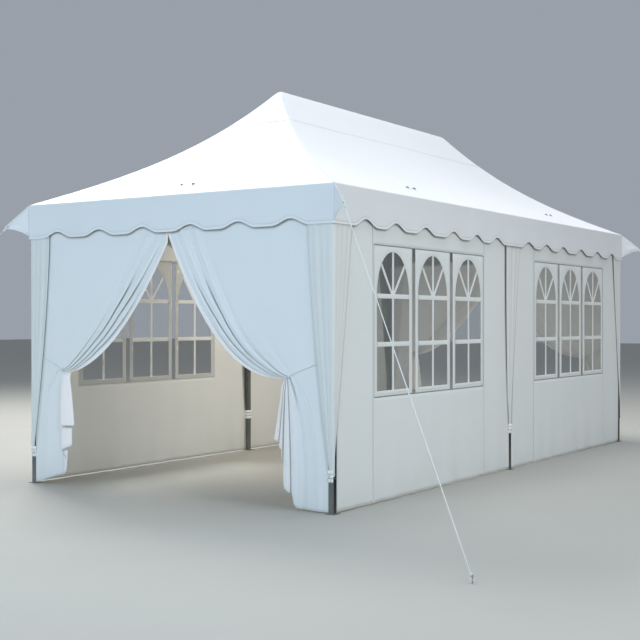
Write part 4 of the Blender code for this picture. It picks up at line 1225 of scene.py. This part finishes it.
def makeMiddleCover(side):
    # One face only, wider to the rear than to the front, with its free edges drawn in at the tie.
    sx = sides[side]
    down, z = coverRows(cover["middleTie"])
    q = np.linspace(-1, 1, 2 * cover["faceColumns"] + 1)[None, :]
    frontHalf, rearHalf = middleHalves(down)
    y = np.where(q < 0, q * frontHalf, q * rearHalf)
    push = coverFolds(q * 0.75, down, 2.7, 0.4 + sx)
    edge = np.exp(-((1 - np.abs(q)) / 0.06) ** 2)
    push = push - edge * cover["edgeCurl"] * (1 - down) - 0.010 * np.abs(q) ** 2 * down ** 3
    points = np.stack([sx * (coverFace(tent["legFaceX"], tent["eaveX"], down) + push), y, z + 0 * y],
                      axis=-1)
    # The cover's top is darkened under the valance's hem: painted shade
    addCover(f"middle_{side}", points, cover["faceColumns"], (sx, 0, 0),
             shelter(tent["hemZ"] + hemLift(sx * y, "side") - z))
    addCuff(f"cover_cuff_middle_{side}", sx * tent["legX"], 0.0, cover["middleTie"] - 0.012, sx, 0.0)


# At a corner the gathers lie on the leg's end face and half of its outer face: "from" and "to" are
# the angles where they start and stop, from the diagonal towards the outer face.
cuff = {"height": 0.086, "swell": 0.0095, "offLeg": 0.0018, "columns": 56, "rows": 40, "frill": 0.0020,
        "cord": 0.0017, "thickness": 0.0012, "from": -98.0, "to": -6.0, "waists": (-0.0155, 0.0155),
        "knot": 0.0031, "tail": 0.0029}


def squareRing(angle, half, rounding):
    # Distance from the middle of a square of half size to its rounded outline, by angle.
    power = 2 / rounding
    return half / (np.abs(np.cos(angle)) ** power + np.abs(np.sin(angle)) ** power) ** (1 / power)


def addCuff(name, x0, y0, z0, sx, sy):
    # The gathered foot of a cover: a sleeve on the leg that swells between the turns of its cord.
    # Its radius is the leg's rounded square plus |sin| of the height, plus pleats round it.
    angle = fullTurn(cuff["columns"])
    corner = sy != 0                                       # an open sheet there, and a sleeve elsewhere
    if corner:
        turned = np.radians(np.linspace(cuff["from"], cuff["to"], cuff["columns"]))
        angle = math.atan2(sy, sx) - sx * sy * turned
    part = np.linspace(0, 1, cuff["rows"])[:, None]
    z = z0 + cuff["height"] * (0.5 - part)
    lumps = np.abs(np.sin(3 * math.pi * (part * 0.96 + 0.02))) ** 0.6
    pleats = np.cos(9 * angle + 3 * part) * 0.6 + np.cos(14 * angle - 5 * part + 1.0) * 0.4
    reach = (squareRing(angle, tent["legSize"] / 2 + cuff["offLeg"], 0.35)
             + cuff["swell"] * lumps * (1 + 0.25 * np.cos(2 * angle + 0.7))
             + cuff["frill"] * pleats * (0.3 + lumps))
    points = np.stack([x0 + reach * np.cos(angle), y0 + reach * np.sin(angle), z + 0 * reach], axis=-1)
    around = (angle if corner else np.append(angle, 2 * math.pi)) * 0.03
    waists = np.exp(-((part - 1 / 3) / 0.045) ** 2) + np.exp(-((part - 2 / 3) / 0.045) ** 2)
    # Painted shade in the waists under the cord, and a painted glow on the swells between them
    sleeve = gridPatch(points, uv=paired(around[None, :], part * cuff["height"]), wrap=not corner,
                       facing=(sx, sy, 0) if corner else None, hemDistance=1.0, hemRun=0.0,
                       shelter=0.72 * waists + 0 * angle, litThrough=0.55 * (1 - waists) + 0 * angle)
    thicken(addPiece(name, [sleeve], bindingCloth), cuff["thickness"])
    # The cord: a turn in each waist, a knot outside and two short ends. The turns are dark grey, standing in
    # for the shade in the waists: painted shade.
    turns = []
    angle = fullTurn(cuff["columns"])
    waist = squareRing(angle, tent["legSize"] / 2 + 0.0040, 0.4)
    for level in cuff["waists"]:
        ring = np.stack([x0 + waist * np.cos(angle), y0 + waist * np.sin(angle),
                         np.full_like(angle, z0 + level)], axis=-1)
        radial = np.stack([np.cos(angle), np.sin(angle), 0 * angle], axis=-1)
        turns.append(sweep(ring, (0, 0, 1), radial, lens(2 * cuff["cord"], 2 * cuff["cord"], 8),
                           closedPath=True))
    addPiece(name.replace("cuff", "turns"), turns, beadRubber)
    outward = np.array([0.0, sy, 0.0] if corner else [sx, 0.0, 0.0])
    sideways = np.array([-outward[1], outward[0], 0.0])
    centre = np.array([x0, y0, z0]) + (0.5 * tent["legSize"] + 0.005) * outward
    centre[0] -= 0.009 * sx * corner
    a = fullTurn(25)
    knot = (centre + 0.006 * outward + np.outer(0.0065 * np.cos(a) + 0.0025 * np.cos(2 * a), sideways)
            + np.outer(0.0060 * np.sin(a) - 0.0025 * np.sin(2 * a), [0, 0, 1.0])
            + np.outer(0.0028 * np.sin(3 * a), outward))
    patches = [tubeAlong(knot, cuff["knot"], outward, closedPath=True)]
    t = np.linspace(0, 1, 14)
    for sign in (-1, 1):
        tail = (centre + 0.006 * outward
                + np.outer(sign * (0.004 + 0.010 * t + 0.004 * np.sin(3 * t)), sideways)
                + np.outer(-0.040 * t ** 1.2, [0, 0, 1.0]) + np.outer(0.004 * np.sin(math.pi * t), outward))
        patches.append(tubeAlong(tail, cuff["tail"], outward))
    addPiece(name.replace("cuff", "cord"), patches, cordBraid)


def makeBraid(name, colour, shade, strands, pitch):
    # Braided or laid cord: slanting bands across and along the cord in its colour and bump.
    material, tree, shader, place, cordPlace = startMaterial(name)
    parts = addNode(tree, "SeparateXYZ", {0: cordPlace}).outputs
    along, around = times(parts[0], 2 * math.pi / pitch), times(parts[1], strands)
    bands = [mathNode("SINE", mathNode(slant, along, around)) for slant in ("ADD", "SUBTRACT")]
    lay = timesPlus(mathNode("MAXIMUM", *bands), 0.5, 0.5)
    soiled = useGroup(tree, dust, Vector=place, Amount=0.6, Height=0.25)
    fill(shader, {"Base Color": mixed(soiled["Mask"], mixed(lay, shade, colour), (0.40, 0.38, 0.31)),
                  "Roughness": timesPlus(soiled["Tone"], 0.2, 0.62), "Normal": bumped(lay, 0.7, 0.0012),
                  "Sheen Weight": 0.2})
    return material


cordBraid = makeBraid("cordBraid", (0.88, 0.88, 0.87), (0.62, 0.63, 0.64), 900.0, 0.006)
guyBraid = makeBraid("guyBraid", (0.90, 0.90, 0.88), (0.66, 0.66, 0.65), 700.0, 0.008)

for side in sides:
    for end in ends:
        makeCornerCover(end, side)
    makeMiddleCover(side)
print("leg covers made")


def makeLegShadeTapes():
    # A near-black strip up the outer face of each leg, standing in for the shade in the gap where a wall's
    # edge meets it: painted shade.
    patches = []
    z = np.linspace(0.006, tent["wallTop"] - 0.01, 40)
    for sx in sides.values():
        for y in (-tent["legY"], 0.0, tent["legY"]):
            path = np.stack([0 * z + sx * tent["legFaceX"], 0 * z + y, z], axis=-1)
            patches.append(sweep(path, (0, 1, 0), (sx, 0, 0), lens(0.037, 0.0010, 12, 0.4)))
    addPiece("leg_shade_tapes", patches, paintedShadeTape)


makeLegShadeTapes()


# Curtain ties

def smoothPath(points, count):
    # A smooth line through points: Catmull-Rom, the mean of the chords as each point's slope.
    points = np.array(points, float)
    padded = np.concatenate([[2 * points[0] - points[1]], points, [2 * points[-1] - points[-2]]])
    pieces = []
    for k in range(len(points) - 1):
        p0, p1, p2, p3 = padded[k:k + 4]
        t = np.linspace(0, 1, count, endpoint=False)[:, None]
        pieces.append(0.5 * (2 * p1 + (p2 - p0) * t + (2 * p0 - 5 * p1 + 4 * p2 - p3) * t ** 2
                             + (3 * p1 - p0 - 3 * p2 + p3) * t ** 3))
    return np.concatenate(pieces + [points[-1:]])


tie = {"radius": 0.0030, "legZ": 1.085, "loopDeep": 0.040}


def makeTie(end, side, look):
    # From the leg, outside the curtain, down to the neck, round the free edge and back inside the
    # cloth to the leg, with a small hitch on the gathers.
    sx, sy = sides[side], ends[end]
    plane, neckX, neckZ = look["plane"], look["neckX"], look["neckZ"]
    inner = tent["legX"] - tent["legSize"] / 2 - 0.002
    points = [(inner, plane - 0.006, tie["legZ"]), (inner - 0.030, plane + 0.0052, tie["legZ"] - 0.016),
              (neckX + 0.17, plane + 0.0062, neckZ + 0.068), (neckX + 0.085, plane + 0.009, neckZ + 0.030),
              (neckX + 0.040, plane + 0.0125, neckZ + 0.012), (neckX + 0.006, plane + 0.003, neckZ),
              (neckX - 0.0075, plane - 0.020, neckZ - 0.003),
              (neckX + 0.020, plane - tie["loopDeep"], neckZ + 0.004),
              (neckX + 0.09, plane - 0.036, neckZ + 0.034), (neckX + 0.20, plane - 0.026, neckZ + 0.075),
              (inner - 0.06, plane - 0.020, tie["legZ"] - 0.030),
              (inner, plane - 0.012, tie["legZ"] + 0.004)]
    path = smoothPath([(sx * x, sy * y, z) for x, y, z in points], 9)
    patches = [tubeAlong(path, tie["radius"])]
    turn = np.linspace(0, 2 * math.pi * 2.5, 60)
    hitch = np.stack([sx * (neckX + 0.052 + 0.004 * turn / math.pi),
                      sy * (plane + 0.0125 + 0.0055 * np.cos(turn)),
                      neckZ + 0.016 + 0.0055 * np.sin(turn)], axis=-1)
    patches.append(tubeAlong(hitch, tie["radius"] * 0.8, (1.0, 0.0, 0.0)))
    piece = addPiece(f"tie_cord_{end}_{side}", patches, cordBraid)
    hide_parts(f"curtain_tie_{end}_{side}")


for end in ends:
    makeTie(end, "right", curtainRight)
    makeTie(end, "left", curtainLeft)
print("curtain ties made")


# Corner ears and guy ropes

ear = {"reach": {"left": 0.194, "right": 0.212}, "drop": {"left": 0.178, "right": 0.154}, "root": 0.250,
       "tip": 0.014, "hollow": 0.030, "bow": 0.006, "thickness": 0.0030, "piping": 0.0030,
       "eyeletIn": 0.020, "eyelet": 0.0062}
rope = {"radius": 0.0036, "lobes": 3, "pitch": 0.026, "step": 0.0036, "around": 12, "lobeDepth": 0.13,
        "pegX": 3.240, "pegY": 4.410, "pegZ": 0.022, "eyeletGap": 0.030, "pegGap": 0.016,
        "eyeletLoop": 0.0105, "pegLoop": 0.0085, "hitchTurns": 3.5, "hitchRadius": 0.0064,
        "hitchPitch": 0.0048}
# The rope pulls its ear into line with the peg: the direction out from the corner, in plan
earOut = unit(np.array([rope["pegX"] - tent["eaveX"], rope["pegY"] - tent["eaveY"]]))


def makeEar(end, side):
    sx, sy = sides[side], ends[end]
    square = np.array([sx * earOut[1], -sy * earOut[0], 0.0])     # square to the web

    def earPoint(u, v):
        # Distance out from the corner and height: the top edge falls in a straight line to the tip,
        # the lower edge is a parabola through the root, a raised middle and the tip.
        top = tent["eaveZ"] - 0.0040
        topZ = top - ear["drop"][side] * u
        rootZ, tipZ = top - ear["root"], top - ear["drop"][side] - ear["tip"]
        middleZ = (rootZ + tipZ) / 2 + ear["hollow"]
        lowZ = (1 - u) ** 2 * rootZ + 2 * u * (1 - u) * middleZ + u ** 2 * tipZ
        return ear["reach"][side] * u, topZ + (lowZ - topZ) * v

    def earPlace(reach, z, sideways=0.0):
        return np.stack([sx * (tent["eaveX"] - 0.003 + reach * earOut[0] + sideways * earOut[1]),
                         sy * (tent["eaveY"] - 0.003 + reach * earOut[1] - sideways * earOut[0]), z],
                        axis=-1)

    u, v = np.meshgrid(np.linspace(0, 1, 25), np.linspace(0, 1, 15))
    reach, z = earPoint(u, v)
    bow = (ear["bow"] * np.sin(math.pi * u) * np.sin(math.pi * v * 0.9)
           + 0.0018 * np.sin(9 * v + 4 * u) * u * (1 - u) * 4)
    hemDistance = np.minimum(v, 1 - v) * (earPoint(u, 0 * v)[1] - earPoint(u, 0 * v + 1)[1])
    patch = gridPatch(earPlace(reach, z, bow), uv=np.stack([reach, z], axis=-1), facing=(sx, -sy, 0),
                      hemDistance=hemDistance, hemRun=reach)
    web = addPiece(f"ear_web_{end}_{side}", [patch], canopyCloth)
    thicken(web, ear["thickness"], offset=0.0)
    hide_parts(f"corner_ear_{end}_{side}")
    patches = []
    t = np.linspace(0, 1, 30)
    for edge in (0.0, 1.0):
        reach, z = earPoint(t, np.full_like(t, edge))
        patches.append(tubeAlong(earPlace(reach, z, 0 * t), ear["piping"], square))
    addPiece(f"ear_piping_{end}_{side}", patches, tapeCloth)
    # Metal eyelet near the tip, on both faces
    u0 = 1 - ear["eyeletIn"] / ear["reach"][side]
    reach0, z0 = earPoint(np.array(u0), np.array(0.5))
    angle = fullTurn(28)
    ring = earPlace(reach0 + ear["eyelet"] * np.cos(angle), z0 + ear["eyelet"] * np.sin(angle), 0 * angle)
    centre = earPlace(reach0, z0)
    radial = (ring - centre) / ear["eyelet"]
    addPiece(f"ear_eyelet_{end}_{side}",
             [sweep(ring, square, radial, lens(0.0060, 0.0034), closedPath=True)],
             zinc)
    return centre


def makeZinc():
    # Zinc-coated wire and eyelets: pale grey metal, mottled in patches, with dull scratches.
    material, tree, shader, place, _ = startMaterial("zincSteel")
    spangle = addNode(tree, "TexVoronoi", {"Vector": place, "Scale": 220.0}).outputs["Color"]
    worn = useGroup(tree, rubbedEdges, Vector=place, Amount=0.5, Grain=150.0)
    grey = mixed(spangle, (0.42, 0.43, 0.44), (0.58, 0.59, 0.60))
    fill(shader, {"Base Color": mixed(worn["Mask"], grey, (0.25, 0.24, 0.22)), "Metallic": 0.9,
                  "Roughness": timesPlus(worn["Mask"], 0.3, 0.36),
                  "Normal": bumped(worn["Height"], 0.15, 0.0005)})
    return material


zinc = makeZinc()


def makeRope(end, side, eyelet):
    # Laid rope: a tube whose radius swells over three strands that turn as they go,
    # r = R (1 - k + k cos(3 (angle - 2 pi s / pitch))). It goes through the eyelet, is hitched
    # round itself, runs straight to the peg, goes round it and is hitched again.
    sx, sy = sides[side], ends[end]
    peg = np.array([sx * rope["pegX"], sy * rope["pegY"], rope["pegZ"]])
    toPeg = unit(peg - eyelet)
    level = unit(np.array([-toPeg[1], toPeg[0], 0.0]))
    over = np.cross(toPeg, level)
    start, stop = eyelet + toPeg * rope["eyeletGap"], peg - toPeg * rope["pegGap"]
    count = int(np.linalg.norm(stop - start) / rope["step"])
    path = start + np.linspace(0, 1, count)[:, None] * (stop - start)
    angle, along = fullTurn(rope["around"]), lineLength(path)[:, None]
    strands = np.cos(rope["lobes"] * (angle - 2 * math.pi * along / rope["pitch"]))
    radius = rope["radius"] * (1 - rope["lobeDepth"] + rope["lobeDepth"] * strands)
    spokes = np.cos(angle)[:, None] * level + np.sin(angle)[:, None] * over
    grid = path[:, None] + radius[..., None] * spokes
    uv = paired(along, np.append(angle, 2 * math.pi) * rope["radius"])
    patches = [gridPatch(grid, uv=uv, wrap=True, caps=True)]
    # Loops through the eyelet and round the peg, with their hitches
    a = np.linspace(-math.pi * 0.86, math.pi * 0.86, 26)
    coil = np.linspace(0, 2 * math.pi * rope["hitchTurns"], 90)
    for centre, towards, place, ringUp, up in ((eyelet, toPeg, "eyelet", over, level),
                                               (peg, -toPeg, "peg", level, over)):
        throat, loop = centre + towards * rope[place + "Gap"], rope[place + "Loop"]
        ring = centre + np.outer(-loop * np.cos(a), towards) + np.outer(loop * np.sin(a), ringUp)
        line = smoothPath(np.concatenate([[throat], ring, [throat]]), 3)
        patches.append(tubeAlong(line, rope["radius"] * 0.92, up))
        hitch = (throat + np.outer(rope["hitchPitch"] * coil / (2 * math.pi), towards)
                 + np.outer(rope["hitchRadius"] * np.cos(coil), level)
                 + np.outer(rope["hitchRadius"] * np.sin(coil), over))
        patches.append(tubeAlong(hitch, rope["radius"] * 0.85, towards))
    piece = addPiece(f"guy_{end}_{side}", patches, guyBraid)
    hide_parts(f"guy_rope_{end}_{side}")


for side in sides:
    for end in ends:
        makeRope(end, side, makeEar(end, side))
print("ears and guys made")


# Eyelet patches in the roof

# Places: side, distance along it and inset from the eave
roofPatch = {
    "places": ((0, 0.02, 0.218), (2, -0.02, 0.218), (1, -1.43, 0.275), (1, 1.54, 0.275), (3, 1.43, 0.275),
               (3, -1.54, 0.275)),
    "long": 0.108, "wide": 0.042, "apart": 0.058, "ring": 0.0150, "plug": 0.0140, "plugHeight": 0.0125,
}


def onSlope(side, along, inset, lift):
    # Points on the roof, lifted off it square to the slope near the eave.
    share = along / ((tent["eaveX"] if side % 2 == 0 else tent["eaveY"]) - inset)
    if side > 1:
        share = -share
    points = canopySurface(inset + 0 * share, 0 * share, sideFactors(side, share))
    tilt = math.atan(0.7 * rise / run)
    x, y = ((0, -1), (1, 0), (0, 1), (-1, 0))[side]
    return points + np.array([x * math.sin(tilt), y * math.sin(tilt), math.cos(tilt)]) * lift[..., None]


def makeRoofPatches():
    # Oval doublings sewn on the slope, each with two eyelets that hold a domed plug: rings of
    # points laid on the cloth's surface, lifted by height sqrt(1 - s^2) for a plug.
    cloth, metal, plugs = [], [], []
    a = fullTurn(20)
    angle, rings = fullTurn(40), np.array([0.02, 0.4, 0.75, 0.95, 1.0])[:, None]
    ovalLift = np.array([0.0030, 0.0030, 0.0028, 0.0020, -0.0005])[:, None] + 0 * angle
    s = np.array([0.04, 0.35, 0.6, 0.8, 0.93, 1.0])[:, None]
    plugLift = 0.0030 + roofPatch["plugHeight"] * np.sqrt(1 - s ** 2) + 0 * a
    for side, along, inset in roofPatch["places"]:
        points = onSlope(side, along + roofPatch["long"] * rings * np.cos(angle),
                         inset + roofPatch["wide"] * rings * np.sin(angle), ovalLift)
        cloth.append(gridPatch(points, uv=paired(angle * 0.05, rings * 0.05), facing=(0, 0, 1), wrap=True,
                               hemDistance=(1 - rings) * 0.03 + 0 * angle, hemRun=angle * 0.05 + 0 * rings))
        for shift in (-roofPatch["apart"], roofPatch["apart"]):
            ring = onSlope(side, along + (shift + roofPatch["ring"] * np.cos(a)),
                           inset + roofPatch["ring"] * np.sin(a), 0.0034 + 0 * a)
            radial = unit(ring - ring.mean(axis=0))
            flat = unit(np.cross(radial, loopTangent(ring)))
            metal.append(sweep(ring, flat, radial, lens(0.0026, 0.0048, 8), closedPath=True))
            plug = onSlope(side, along + (shift + s * roofPatch["plug"] * np.cos(a)),
                           inset + s * roofPatch["plug"] * np.sin(a), plugLift)
            plugs.append(gridPatch(plug, facing=(0, 0, 1), wrap=True))
    addPiece("roof_patches", cloth, canopyCloth, merge=0.0001)
    addPiece("roof_eyelets", metal, zinc)
    addPiece("roof_eyelet_holes", plugs, beadRubber, merge=0.0009)


makeRoofPatches()
print("roof patches made")


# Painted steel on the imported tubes

def makePaint():
    # Grey-green powder coat: orange peel, scratches, rubbed edges and dust near the ground.
    material, tree, shader, place, _ = startMaterial("paintedTube")
    worn = useGroup(tree, rubbedEdges, Vector=place, Amount=0.55, Grain=70.0)
    soiled = useGroup(tree, dust, Vector=place, Amount=0.8, Height=0.22)
    colour = mixed(soiled["Tone"], (0.036, 0.050, 0.046), (0.062, 0.082, 0.076))
    colour = mixed(worn["Mask"], colour, (0.42, 0.43, 0.43))
    fill(shader, {"Base Color": mixed(soiled["Mask"], colour, (0.30, 0.27, 0.20)),
                  "Metallic": times(worn["Mask"], 0.8), "Roughness": timesPlus(soiled["Tone"], 0.2, 0.42),
                  "Specular IOR Level": 0.35, "Normal": bumped(worn["Height"], 0.12, 0.0006)})
    return material


painted = makePaint()
for name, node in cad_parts.items():
    if name.startswith(("leg_front", "leg_middle", "leg_rear", "eave_rail", "cross_beam", "king_post",
                        "ridge_tube")):
        finish = painted
    elif name.startswith("ground_peg"):
        finish = zinc
    else:
        continue
    node.data.materials.clear()
    node.data.materials.append(finish)
print("steel finished")


# Floor, light and camera

# Each lamp: place, point it is aimed at, size, power and colour
studio = {
    "key": ((-8.0, 2.0, 9.5), (-0.5, -0.5, 2.6), 4.0, 1150.0, (1.0, 0.985, 0.96)),
    "top": ((1.5, 0.0, 13.0), (1.0, 0.0, 2.0), 9.0, 890.0, (0.95, 0.965, 1.0)),
    "frontFill": ((0.5, -12.0, 4.0), (0.0, -2.5, 1.2), 7.0, 418.0, (0.54, 0.79, 1.0)),
    "sideFill": ((8.0, -3.0, 3.5), (1.5, -1.5, 1.2), 5.0, 154.0, (0.90, 0.985, 1.0)),
    "inside": ((0.0, 0.0, 2.25), (0.0, 0.0, 0.0), 2.4, 35.0, (1.0, 0.91, 0.79)),
}
view = {"place": (5.8906, -9.9103, 1.3477), "heading": 33.109, "tilt": 0.053, "lens": 66.22,
        "skyColour": (0.80, 0.88, 1.0, 1.0), "skyStrength": 0.40, "floorReach": 60.0, "floorZ": -0.001}


def makeStudio():
    scene = bpy.context.scene
    reach, z = view["floorReach"], view["floorZ"]
    floorMesh = bpy.data.meshes.new("studio_floor")
    corners = [(-reach, -reach, z), (reach, -reach, z), (reach, reach, z), (-reach, reach, z)]
    floorMesh.from_pydata(corners, [], [(0, 1, 2, 3)])
    floor = bpy.data.objects.new("studio_floor", floorMesh)
    scene.collection.objects.link(floor)
    material, tree, shader, place, _ = startMaterial("studioFloor")
    fill(shader, {"Base Color": mixed(noise(place, 1.2, 4.0), (0.42, 0.415, 0.38), (0.45, 0.445, 0.41)),
                  "Roughness": 0.9})
    floorMesh.materials.append(material)

    world = bpy.data.worlds.new("studio")
    world.use_nodes = True
    fill(world.node_tree.nodes["Background"], {"Color": view["skyColour"], "Strength": view["skyStrength"]})
    scene.world = world

    for name, (place, aim, size, power, colour) in studio.items():
        data = bpy.data.lights.new(name, "AREA")
        data.shape, data.size, data.energy, data.color = "SQUARE", size, power, colour
        light = bpy.data.objects.new(name, data)
        x, y, z = np.array(aim) - np.array(place)
        light.location = place
        light.rotation_euler = (math.atan2(math.hypot(x, y), -z), 0.0, math.atan2(-x, y))
        light.visible_camera = False
        scene.collection.objects.link(light)

    data = bpy.data.cameras.new("photoView")
    data.lens, data.sensor_width, data.sensor_fit = view["lens"], 36.0, "HORIZONTAL"
    data.clip_start, data.clip_end = 0.1, 200.0
    camera = bpy.data.objects.new("photoView", data)
    camera.location = view["place"]
    camera.rotation_euler = (math.radians(90 + view["tilt"]), 0.0, math.radians(view["heading"]))
    scene.collection.objects.link(camera)
    scene.camera = camera
    scene.view_settings.view_transform = "Standard"


makeStudio()
print("studio ready")
